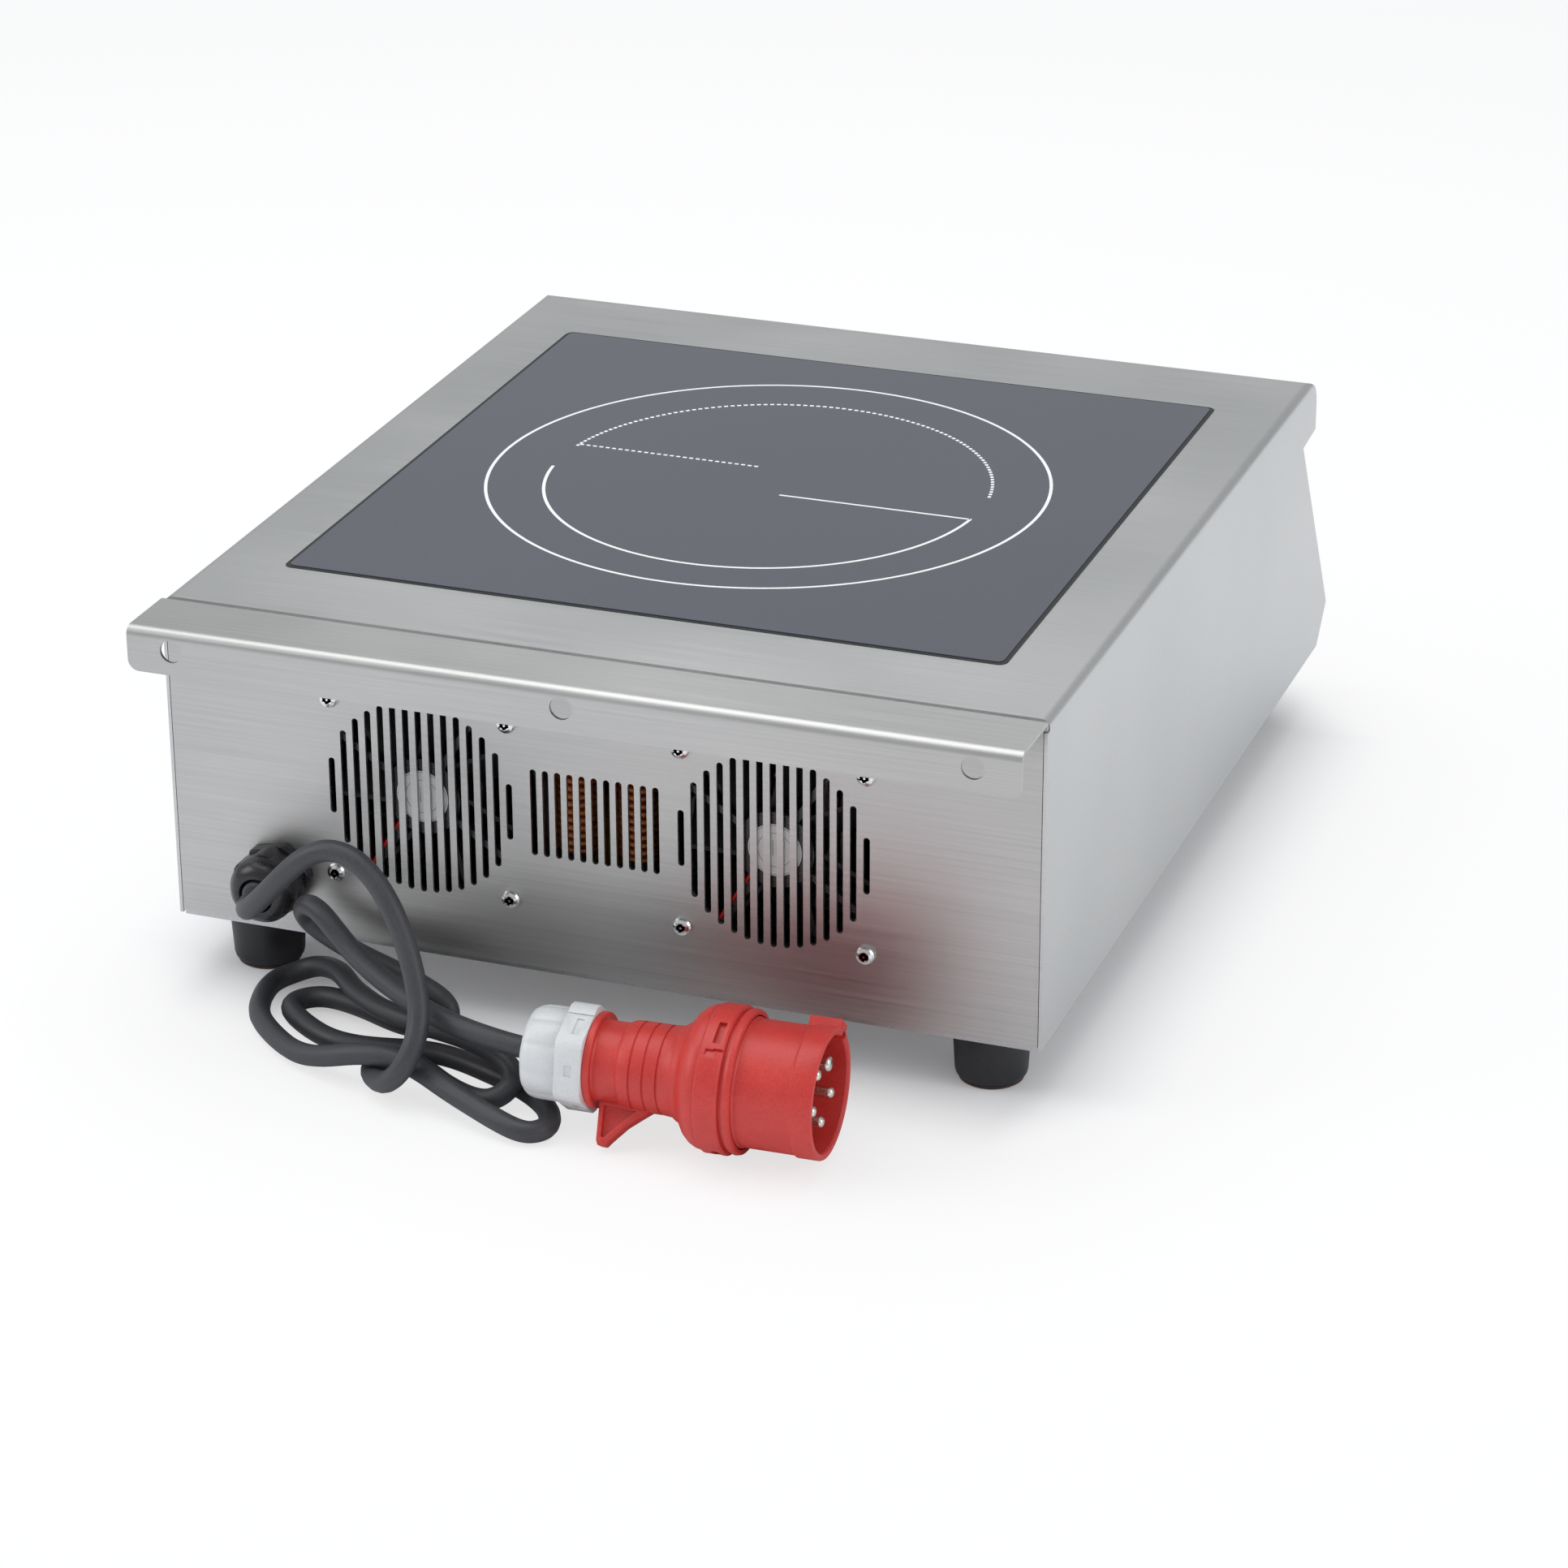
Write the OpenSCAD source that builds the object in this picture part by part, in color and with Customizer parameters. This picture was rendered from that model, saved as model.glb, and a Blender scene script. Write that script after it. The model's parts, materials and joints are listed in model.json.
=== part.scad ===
// Counter-top induction cooking plate with a rear lead and a five-pin plug.
// Millimetres. +Z up, controls face -Y, fans and cable gland face +Y.
// Origin: bottom centre of the appliance, on the surface it stands on.

/* [Housing] */
// Width over the side sheets
body_w = 400; // [360:5:480]
// Depth from the rear panel to the knee of the fascia
body_d = 479.5; // [440:0.5:560]
// Height of the top sheet above the table
top_z = 180; // [165:1:210]
// Thickness of every steel sheet
sheet_t = 1.5; // [1:0.1:2]
// Outer radius of the long bends of the cover
bend_r = 4; // [2.5:0.5:6]
// Depth of the rain lip behind the rear panel
lip_d = 34; // [20:1:45]
// Height of the lip's hanging flange
lip_h = 20; // [12:1:28]
// Width of the seam between cover and lip
seam = 1.4; // [0.6:0.1:3]

/* [Front] */
// Setback of the nose behind the knee
nose_back = 38.5; // [30:0.5:50]
// Outer radius of the nose bend
nose_r = 15; // [8:0.5:20]
// Height of the nose
nose_h = 27.4; // [22:0.2:34]
// Setback of the fascia's upper edge behind the knee
fascia_back = 61.5; // [50:0.5:75]
// Height of the knee above the underside
knee_h = 18; // [10:0.5:28]
// Setback of the lower return behind the knee
return_back = 16.5; // [8:0.5:24]

/* [Cooking surface] */
// Width of the glass
glass_w = 328; // [280:1:340]
// Depth of the glass
glass_d = 326; // [280:1:340]
// Thickness of the glass
glass_t = 4; // [4:0.5:6]
// Height of the glass above the top sheet
glass_proud = 0.6; // [0:0.1:1]
// Width of the sealant joint round the glass
seal_w = 2; // [1:0.5:4]
// Distance of the glass centre in front of the rear panel
glass_back = 215; // [205:1:240]
// Outer radius of the coil winding
coil_r = 118; // [90:1:125]

/* [Fans] */
// Side of the square fan frame
fan_size = 92; // [80:1:92]
// Depth of the fan frame
fan_depth = 25; // [20:1:30]
// Distance between the fan's screw centres
fan_screws_pitch = 82.5; // [71.5:0.5:84]
// Distance of each fan's axis from the centre plane
fan_x = 80.8; // [78:0.1:90]
// Depth of the fan axis below the top sheet
fan_drop = 77; // [72:1:90]
// Running gap between blade tips and fan frame
tip_gap = 1.2; // [0.6:0.1:2]

/* [Grilles] */
// Width of a slot
slot_w = 2.9; // [2:0.1:4]
// Pitch of the fan grille slots
slot_pitch = 5.93; // [5:0.01:6.2]
// Radius of the round fan grille
grille_r = 44.5; // [36:0.5:45]
// Pitch of the middle vent slots
vent_pitch = 5.6; // [5:0.1:6]
// Length of a middle vent slot
vent_len = 40.3; // [30:0.1:50]

/* [Feet] */
// Height of the feet
foot_h = 28; // [20:0.5:34]
// Radius of a foot at its top
foot_top_r = 17.3; // [14:0.1:20]
// Radius of a foot at its sole
foot_sole_r = 15.6; // [12:0.1:19]
// Distance of the feet from the centre plane
foot_x = 170; // [150:1:175]
// Distance of the rear feet in front of the rear panel
foot_rear = 26.5; // [24:0.5:50]
// Distance of the front feet behind the knee
foot_front = 48; // [40:1:70]

/* [Controls] */
// Radius of the knob
knob_r = 19; // [14:0.5:22]
// Height of the knob
knob_h = 18; // [12:0.5:22]
// Radius of the control shaft
shaft_r = 3; // [2:0.1:4]
// Radius of a push button
button_r = 7; // [5:0.5:9]
// Travel of a push button
button_travel = 1.5; // [0.5:0.1:2]
// Distance between push buttons
button_pitch = 26; // [20:1:32]

/* [Lead] */
// Radius of the lead
cord_r = 4.75; // [4:0.05:6]
// Distance of the gland from the centre plane
gland_x = 150; // [146:1:160]
// Height of the gland above the table
gland_z = 56; // [50:1:70]
// Distance from the rear panel to the gland's mouth
gland_len = 24.5; // [22:0.5:30]

/* [Plug] */
// Outer radius of the plug's shroud
shroud_r = 27; // [24:0.1:32]
// Outer radius of the locking collar
collar_r = 31.5; // [28.5:0.1:36]
// Radius of the pin circle
pin_circle_r = 12.8; // [12:0.1:15]

/* [Hidden] */
$fn = 96;
eps = 0.01;
cut = 1;
fit = 0.3;
run = 0.05;

// ---- housing lines, worked out from the driving sizes ----
total_d = body_d + lip_d;
rear_y = total_d/2 - lip_d;
knee_y = rear_y - body_d;
nose_y = knee_y + nose_back;
fascia_top_y = knee_y + fascia_back;
fascia_top_z = top_z - nose_h - 2;
pan_z = foot_h;
body_z = pan_z + sheet_t;
knee_z = body_z + knee_h;
inner_w = body_w - 2*sheet_t;
inner_top = top_z - sheet_t;
panel_inner_y = rear_y - sheet_t;
cover_end_y = panel_inner_y - seam;
flange = 14;
pan_flange = 9;

// ---- fascia frame: X across, Y up the slope, Z out of the face ----
fascia_dy = fascia_top_y - knee_y;
fascia_dz = fascia_top_z - knee_z;
fascia_len = sqrt(fascia_dy*fascia_dy + fascia_dz*fascia_dz);
fascia_tilt = atan2(fascia_dz, fascia_dy);
fascia_mid = [0, (fascia_top_y + knee_y)/2, (fascia_top_z + knee_z)/2];
overlay_w = 300;
overlay_h = fascia_len - 34;
overlay_t = 0.8;
board_back = 16;
board_t = 1.6;
control_w = 236;
control_h = overlay_h - 12;
knob_x = 96;
window_x = -72;
window_w = 66;
window_h = 26;
buttons_x = [for (i = [0:3]) -14 + (i - 0.5)*button_pitch];
button_hole = button_r + 0.35;
button_out = 2.6;
bushing_r = 4.5;
shaft_top = knob_h - 2;

// ---- cooking surface ----
glass_y = rear_y - glass_back;
glass_top = top_z + glass_proud;
glass_under = glass_top - glass_t;
hole_w = glass_w + 2*seal_w;
hole_d = glass_d + 2*seal_w;
ledge = 10;
frame_t = 1.5;
mica_t = 1;
coil_top = glass_under - mica_t;
coil_t = 6;
tray_t = 3;
tray_z = coil_top - coil_t - tray_t;
tray_r = coil_r + 4;
sensor_r = 11.7;
ferrite_t = 5;
support_r = 5;
support_at = 80;

// ---- fans ----
fan_z = top_z - fan_drop;
fan_y0 = panel_inner_y - fan_depth;
throat_r = fan_size/2 - 1.7;
hub_r = fan_size*0.19;
seat_t = 4;
seat_out = 0.8;
seat_y = panel_inner_y - seat_out;
fan_shaft_r = 1.5;
strut_w = 3;
strut_turn = 58;
screw_hole_r = 2.15;

// ---- electronics ----
board_z = body_z + 8;
board_top = board_z + board_t;
sink_z = board_top + 6.4;
power_x0 = -124;
power_x1 = 44;
power_y0 = 20;
power_y1 = 164;
sink_x = -fan_x;
sink_w = 78;
sink_y0 = 44;
sink_d = 112;
choke_y = panel_inner_y - 16;
choke_z = fan_z + 1.5;
choke_leg_x = 14.5;
choke_leg_r = 6.5;
choke_turns = 12;
choke_wire_r = 1.9;
choke_half = choke_turns*choke_wire_r;
filter_x = 152;
filter_y = 92;
block_y = 176;
block_z = gland_z - 10;

// ---- feet ----
feet_y = [rear_y - foot_rear, knee_y + foot_front];
foot_bore_r = 2.8;
foot_sink_r = 6;
foot_sink_h = foot_h - 10;

// ---- gland and lead ----
gland_hex_r = 16.5;
gland_thread_r = 12;
gland_mouth_r = cord_r + 0.25;
cord_sides = 10;
// The lead lies where it was put down: these points are its middle line.
CORD = [
    [150, 228, 56], [150, 250, 56], [148, 262, 57], [142, 270, 61], [125, 275, 80],
    [115, 274, 91], [104, 273, 98], [92, 274, 98], [80, 277, 92], [70, 280, 80],
    [62, 284, 66], [55, 290, 51], [50, 298, 38], [50, 307, 27], [56, 310, 16],
    [65, 307, 8], [79, 291, 5], [78, 282, 5], [69, 277, 5], [59, 279, 5],
    [43, 292, 5], [24, 301, 5], [15, 299, 7], [10, 293, 12], [13, 286, 16],
    [34, 277, 21], [60, 276, 23], [84, 265, 21], [95, 256, 20], [106, 246, 18],
    [117, 232, 17], [128, 221, 13], [139, 214, 9], [149, 218, 5], [155, 229, 5],
    [149, 254, 5], [140, 266, 5], [128, 277, 5], [114, 287, 5], [99, 293, 9],
    [84, 296, 15], [69, 296, 17], [54, 297, 15], [38, 305, 12], [22, 311, 9],
    [-2, 320, 5], [-10, 318, 5], [-14, 310, 5], [-6, 294, 5], [14, 281, 5],
    [27, 276, 5], [41, 270, 5], [55, 266, 5], [69, 267, 5], [84, 271, 5],
    [98, 272, 5], [112, 268, 5], [133, 253, 5], [137, 244, 5], [132, 236, 5],
    [122, 234, 6], [99, 245, 9], [77, 256, 9], [57, 258, 13], [54, 258, 20],
    [57, 257, 27], [78, 252, 32], [92, 247, 33], [106, 242, 34], [127, 238, 41],
    [131, 241, 49], [127, 246, 56], [118, 250, 57], [98, 263, 45], [75, 274, 38],
    [61, 280, 35], [46, 287, 34], [31, 292, 33], [6, 296, 31.5], [-6, 295.6, 31.5]
];

// ---- plug, along its own axis from the mouth ----
plug_mouth = [-131, 291.5, collar_r];
plug_turn = 1.9;
shroud_lip_r = shroud_r + 0.8;
shroud_wall = 2.4;
shroud_len = 34;
rim_len = 10;
collar_s = 34.5;
collar_end = 50;
bell_end = 62;
neck_end = 99;
plug_flange_end = 102;
ring_end = 114;
plug_end = 131;
neck_r = 17.2;
pin_turn = 224;
pin_tip = 2.5;

// ================= helpers =================

module along_x(w) {
    translate([-w/2, 0, 0]) rotate([90, 0, 90]) linear_extrude(w) children();
}

module along_y(y0, y1) {
    translate([0, y1, 0]) rotate([90, 0, 0]) linear_extrude(y1 - y0) children();
}

module on_rear(x, z) {
    translate([x, rear_y, z]) rotate([-90, 0, 0]) children();
}

module on_fascia() {
    translate(fascia_mid) rotate([fascia_tilt, 0, 0]) children();
}

module on_plug() {
    translate(plug_mouth) rotate([0, 0, plug_turn]) rotate([0, 90, 0]) children();
}

// What a square corner loses when it is rounded; the corner sits at the origin.
module corner_waste(r) {
    difference() {
        translate([-cut, -cut]) square(r + cut);
        translate([r, r]) circle(r);
    }
}

module rounded_square(w, d, r) {
    difference() {
        square([w, d], center = true);
        for (sx = [-1, 1], sy = [-1, 1])
            translate([sx*w/2, sy*d/2]) scale([-sx, -sy]) corner_waste(r);
    }
}

module slab(w, d, h, r) {
    linear_extrude(h) rounded_square(w, d, r);
}

module slot(len) {
    half = max(len/2 - slot_w/2, eps);
    translate([0, half]) circle(slot_w/2, $fn = 32);
    translate([0, -half]) circle(slot_w/2, $fn = 32);
    square([slot_w, 2*half], center = true);
}

module pan_screw(head_r, head_h, shank_r, shank_len) {
    difference() {
        union() {
            cylinder(r = head_r, h = head_h*0.55, $fn = 40);
            translate([0, 0, head_h*0.55]) cylinder(r1 = head_r, r2 = head_r*0.72, h = head_h*0.45, $fn = 40);
        }
        for (a = [0, 90])
            rotate([0, 0, a + 20]) translate([-head_r*0.5, -0.45, head_h*0.45]) cube([head_r, 0.9, head_h]);
    }
    translate([0, 0, -shank_len]) cylinder(r = shank_r, h = shank_len + eps, $fn = 32);
}

// Side view of the housing, Y to the right and Z up.
module side_outline() {
    difference() {
        polygon([
            [rear_y, body_z], [rear_y, top_z], [nose_y, top_z], [nose_y, top_z - nose_h],
            [fascia_top_y, fascia_top_z], [knee_y, knee_z], [knee_y + return_back, body_z]
        ]);
        translate([nose_y, top_z]) scale([1, -1]) corner_waste(nose_r);
    }
}

// The same view of the space inside the cover.
module side_hollow() {
    difference() {
        polygon([
            [rear_y + cut, body_z - cut], [rear_y + cut, inner_top], [nose_y + sheet_t, inner_top],
            [nose_y + sheet_t, top_z - nose_h + sheet_t], [fascia_top_y, fascia_top_z + sheet_t],
            [fascia_top_y, fascia_top_z], [knee_y - cut, fascia_top_z], [knee_y - cut, body_z - cut]
        ]);
        translate([nose_y + sheet_t, inner_top]) scale([1, -1]) corner_waste(nose_r - sheet_t);
    }
}

// Front view with two rounded upper corners.
module front_outline(w, z0, z1, r) {
    difference() {
        translate([-w/2, z0]) square([w, z1 - z0]);
        for (s = [-1, 1]) translate([s*w/2, z1]) scale([-s, -1]) corner_waste(r);
    }
}

// ================= housing =================

module top_cover() {
    color("silver") {
        difference() {
            intersection() {
                along_x(body_w) side_outline();
                along_y(knee_y - cut, rear_y + cut) front_outline(body_w, body_z - cut, top_z, bend_r);
            }
            intersection() {
                along_x(inner_w) side_hollow();
                along_y(knee_y - 2*cut, rear_y + 2*cut)
                    front_outline(inner_w, body_z - 2*cut, inner_top, bend_r - sheet_t);
            }
            translate([-body_w/2 - cut, cover_end_y, top_z - bend_r - 1])
                cube([body_w + 2*cut, lip_d, bend_r + 2]);
            translate([0, glass_y, inner_top - cut]) slab(hole_w, hole_d, sheet_t + 2*cut, 4);
        }
        for (s = [-1, 1]) difference() {
            translate([s*(inner_w - flange)/2 - flange/2, feet_y[1], body_z])
                cube([flange, feet_y[0] - feet_y[1], sheet_t]);
            base_screw_places() translate([0, 0, body_z - cut]) cylinder(r = 2.2, h = sheet_t + 2*cut, $fn = 32);
        }
        difference() {
            translate([-inner_w/2, panel_inner_y - sheet_t - fit, top_z - 20])
                cube([inner_w, sheet_t, 20 - sheet_t]);
            panel_screw_places() translate([0, 0, -lip_d]) cylinder(r = 2.2, h = 2*lip_d, $fn = 32);
        }
    }
}

module rear_panel() {
    panel_w = inner_w - 2*fit;
    lip_w = body_w - 0.6;
    color("gainsboro") difference() {
        union() {
            translate([-panel_w/2, panel_inner_y, body_z + 1.2])
                cube([panel_w, sheet_t, top_z - bend_r - body_z - 1.2]);
            intersection() {
                along_x(lip_w) difference() {
                    translate([panel_inner_y, top_z - lip_h]) square([lip_d + sheet_t, lip_h]);
                    translate([rear_y + lip_d, top_z]) scale([-1, -1]) corner_waste(bend_r);
                    difference() {
                        translate([rear_y, top_z - lip_h - cut]) square([lip_d - sheet_t, lip_h + cut - sheet_t]);
                        translate([rear_y + lip_d - sheet_t, top_z - sheet_t])
                            scale([-1, -1]) corner_waste(bend_r - sheet_t);
                    }
                    translate([panel_inner_y - cut, top_z - lip_h - cut]) square([sheet_t + cut, lip_h + cut - bend_r]);
                    translate([panel_inner_y, top_z]) scale([1, -1]) corner_waste(bend_r/2);
                }
                along_y(rear_y - 2*lip_d, rear_y + 2*lip_d) difference() {
                    translate([-lip_w/2, top_z - lip_h]) square([lip_w, lip_h]);
                    for (s = [-1, 1]) translate([s*lip_w/2, top_z - lip_h]) scale([-s, 1]) corner_waste(5);
                }
            }
        }
        panel_screw_places() {
            translate([0, 0, -sheet_t - cut]) cylinder(r = 2.2, h = sheet_t + 2*cut, $fn = 32);
            translate([0, 0, lip_d/2]) cylinder(r = 5.1, h = lip_d);
        }
        for (s = [-1, 1]) on_rear(s*fan_x, fan_z) {
            for (sx = [-1, 1], sy = [-1, 1]) translate([sx*fan_screws_pitch/2, sy*fan_screws_pitch/2, -sheet_t - cut])
                cylinder(r = screw_hole_r, h = sheet_t + 2*cut, $fn = 32);
            fan_grille();
        }
        on_rear(0, fan_z + 1.5) translate([0, 0, -sheet_t - cut]) linear_extrude(sheet_t + 2*cut)
            for (i = [-5:5]) translate([i*vent_pitch, 0]) slot(vent_len);
        on_rear(gland_x, gland_z) translate([0, 0, -sheet_t - cut])
            cylinder(r = gland_thread_r + fit, h = sheet_t + 2*cut);
    }
}

module fan_grille() {
    translate([0, 0, -sheet_t - cut]) linear_extrude(sheet_t + 2*cut)
        for (i = [-7:7]) {
            x = i*slot_pitch;
            if (abs(x) + slot_w/2 < grille_r)
                translate([x, 0]) slot(2*sqrt(grille_r*grille_r - x*x) - (abs(i) == 7 ? 6 : 0));
        }
}

module panel_screw_places() {
    for (i = [-1:1]) on_rear(i*(body_w/2 - 21), top_z - 9) children();
}

module base_screw_places() {
    for (s = [-1, 1], y = [-120, 0, 120]) translate([s*(inner_w/2 - flange/2), y, 0]) children();
}

module base_pan() {
    pan_w = inner_w - 2*fit;
    y0 = knee_y + return_back + 2;
    y1 = panel_inner_y - fit;
    color("lightgray") difference() {
        union() {
            translate([-pan_w/2, y0, pan_z]) cube([pan_w, y1 - y0, sheet_t]);
            translate([-pan_w/2, y1 - sheet_t, pan_z]) cube([pan_w, sheet_t, pan_flange]);
            for (x = [power_x0 + 6, power_x1 - 6], y = [power_y0 + 6, power_y1 - 6])
                translate([x, y, body_z - eps]) cylinder(r = 4, h = board_z - body_z + eps, $fn = 32);
            for (sx = [-1, 1], sy = [-1, 1]) translate([filter_x + sx*26, filter_y + sy*36, body_z - eps])
                cylinder(r = 4, h = board_z - body_z + eps, $fn = 32);
            translate([filter_x - 30, block_y - 11, body_z - eps]) cube([60, 22, sheet_t]);
            for (s = [-1, 1]) translate([filter_x + s*28.5 - 1.5, block_y - 11, body_z])
                cube([3, 22, block_z - body_z]);
        }
        for (s = [-1, 1], y = feet_y) translate([s*foot_x, y, pan_z - cut])
            cylinder(r = foot_bore_r, h = sheet_t + 2*cut, $fn = 32);
        base_screw_places() translate([0, 0, pan_z - cut]) cylinder(r = 2.2, h = sheet_t + 2*cut, $fn = 32);
        for (s = [-1, 1], i = [-6:6]) translate([s*85 + i*2*slot_pitch, -110, pan_z - cut])
            linear_extrude(sheet_t + 2*cut) slot(90);
    }
}

module front_panel() {
    w = inner_w - 2*fit;
    color("silver") {
        difference() {
            along_x(w) polygon([
                [fascia_top_y, fascia_top_z - fit], [knee_y, knee_z], [knee_y + return_back, body_z],
                [knee_y + return_back + 2.4, body_z], [knee_y + 1.8, knee_z + 0.2],
                [fascia_top_y + 1.8, fascia_top_z - fit]
            ]);
            on_fascia() {
                translate([window_x, 0, -3]) slab(window_w + 0.6, window_h + 0.6, 5, 2);
                for (x = buttons_x) translate([x, 0, -3]) cylinder(r = button_hole, h = 5);
                translate([knob_x, 0, -3]) cylinder(r = bushing_r + fit, h = 5);
            }
        }
        on_fascia() for (sx = [-1, 1], sy = [-1, 1])
            translate([sx*(control_w/2 - 5), sy*(control_h/2 - 5), -board_back])
                cylinder(r = 3, h = board_back - 1.2, $fn = 32);
        translate([-w/2, fascia_top_y + 0.2, fascia_top_z - fit - 3]) cube([w, 12, sheet_t]);
    }
}

// ================= cooking surface =================

module glass_plate() {
    color([0.2, 0.21, 0.23]) translate([0, glass_y, glass_under]) slab(glass_w, glass_d, glass_t, 3);
}

module glass_seal() {
    color([0.08, 0.08, 0.08]) translate([0, glass_y, glass_under]) difference() {
        slab(hole_w - 0.1, hole_d - 0.1, top_z - glass_under + 0.2, 4);
        translate([0, 0, -cut]) slab(glass_w, glass_d, glass_t + 2*cut, 3);
    }
}

module glass_frame() {
    z0 = glass_under - frame_t;
    color("gray") translate([0, glass_y, z0]) difference() {
        slab(hole_w + 24, hole_d + 24, inner_top - z0, 6);
        translate([0, 0, frame_t]) slab(hole_w, hole_d, glass_t + cut, 4);
        translate([0, 0, -cut]) slab(glass_w - 2*ledge, glass_d - 2*ledge, glass_t + 2*cut, 4);
    }
}

module mica_sheet() {
    color("burlywood") translate([0, glass_y, coil_top]) cylinder(r = coil_r + 6, h = mica_t);
}

module coil_winding() {
    ridge = 2.2;
    first = 34;
    color("chocolate") translate([0, glass_y, tray_z + tray_t]) difference() {
        rotate_extrude() {
            translate([first, 0]) square([coil_r - first, coil_t - ridge]);
            for (r = [first + ridge:2*ridge + 0.4:coil_r - ridge])
                translate([r, coil_t - ridge]) circle(ridge, $fn = 24);
        }
        translate([0, 0, -10]) cylinder(r = first - 2, h = 30);
    }
}

module coil_tray() {
    color("beige") translate([0, glass_y, tray_z]) difference() {
        union() {
            cylinder(r = tray_r, h = tray_t);
            cylinder(r = 20, h = tray_t + 3);
            difference() {
                cylinder(r = tray_r, h = tray_t + 4);
                translate([0, 0, tray_t - eps]) cylinder(r = tray_r - 2, h = 5);
            }
        }
        translate([0, 0, -cut]) cylinder(r = sensor_r + fit, h = 12);
    }
}

module ferrite_bars() {
    color("dimgray") for (i = [0:7])
        translate([0, glass_y, tray_z - ferrite_t]) rotate([0, 0, i*45 + 22.5])
            translate([34, -7, 0]) cube([72, 14, ferrite_t]);
}

module coil_sensor() {
    color("white") translate([0, glass_y, 0]) {
        translate([0, 0, tray_z - 6]) cylinder(r = sensor_r, h = 12);
        translate([0, 0, tray_z + 6 - eps]) cylinder(r = 6, h = coil_top - tray_z - 6 + eps);
    }
}

module coil_supports() {
    color("whitesmoke") for (sx = [-1, 1], sy = [-1, 1])
        translate([sx*support_at, glass_y + sy*support_at, body_z]) {
            cylinder(r = support_r, h = tray_z - body_z);
            cylinder(r = support_r + 4, h = 3);
        }
}

// ================= electronics =================

module power_board() {
    color("darkgreen") difference() {
        translate([power_x0, power_y0, board_z]) cube([power_x1 - power_x0, power_y1 - power_y0, board_t]);
        for (sx = [-1, 1], sy = [-1, 1]) translate([sx*support_at, glass_y + sy*support_at, 0])
            cylinder(r = support_r + 5, h = top_z/2);
    }
}

module heatsink() {
    color("lightgray") translate([sink_x - sink_w/2, sink_y0, sink_z]) difference() {
        union() {
            cube([sink_w, sink_d, 6]);
            for (i = [0:10]) translate([i*(sink_w - 2)/10, 0, 0]) cube([2, sink_d, 62]);
        }
        translate([sink_w/2 - support_at - sink_x, glass_y + support_at - sink_y0, -cut])
            cylinder(r = support_r + 2, h = 90);
    }
}

module power_modules() {
    color([0.1, 0.1, 0.1]) for (i = [0:3])
        translate([sink_x - 28 + (i % 2)*40, sink_y0 + 8 + floor(i/2)*74, board_top]) cube([16, 21, sink_z - board_top]);
}

module rectifier() {
    color([0.12, 0.12, 0.12]) translate([0, power_y0 + 12, board_top]) difference() {
        cube([30, 30, 9]);
        translate([15, 15, -cut]) cylinder(r = 2.5, h = 12, $fn = 32);
    }
}

module capacitors() {
    color("gold") for (i = [0:2]) translate([6, power_y0 + 52 + i*29, board_top]) cube([26, 24, 34]);
}

module choke_core() {
    color([0.15, 0.15, 0.17]) {
        for (s = [-1, 1]) translate([s*choke_leg_x, choke_y, body_z])
            cylinder(r = choke_leg_r, h = choke_z + choke_half + 4 - body_z);
        for (z = [body_z, choke_z + choke_half + 2])
            translate([-choke_leg_x - 9, choke_y - 9, z]) cube([2*choke_leg_x + 18, 18, 5]);
    }
}

// Two windings of the same wire, one on each leg.
module choke_winding() {
    inner = choke_leg_r + run;
    color("peru") for (s = [-1, 1]) translate([s*choke_leg_x, choke_y, choke_z - choke_half]) rotate_extrude() {
        translate([inner, 0]) square([2, 2*choke_half]);
        for (i = [0:choke_turns - 1]) translate([inner + 2, choke_wire_r*(2*i + 1)]) circle(choke_wire_r, $fn = 20);
    }
}

module filter_board() {
    color("darkgreen") translate([filter_x - 31, filter_y - 42, board_z]) cube([62, 84, board_t]);
    color("dimgray") for (i = [0:1]) translate([filter_x, filter_y - 20 + i*42, board_top - eps]) difference() {
        cylinder(r = 16, h = 22);
        translate([0, 0, 3]) cylinder(r = 8, h = 22);
    }
}

module terminal_block() {
    color("ivory") translate([filter_x - 30, block_y - 11, block_z]) difference() {
        cube([60, 22, 18]);
        for (i = [0:4]) translate([8 + i*11, 11, 10]) cylinder(r = 3, h = 10, $fn = 32);
    }
}

module earth_stud() {
    color("gold") translate([filter_x + 20, filter_y + 58, body_z]) {
        cylinder(r = 2.5, h = 16, $fn = 32);
        cylinder(r = 4.6, h = 4, $fn = 6);
    }
}

module mains_wires() {
    tints = ["sienna", "black", "gray", "steelblue", "limegreen"];
    for (i = [0:4]) color(tints[i])
        translate([gland_x - 5.6 + i*2.8, block_y + 11, gland_z]) rotate([-90, 0, 0])
            cylinder(r = 1.3, h = rear_y - 11 - block_y - 11, $fn = 20);
}

// ================= fans =================

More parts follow.
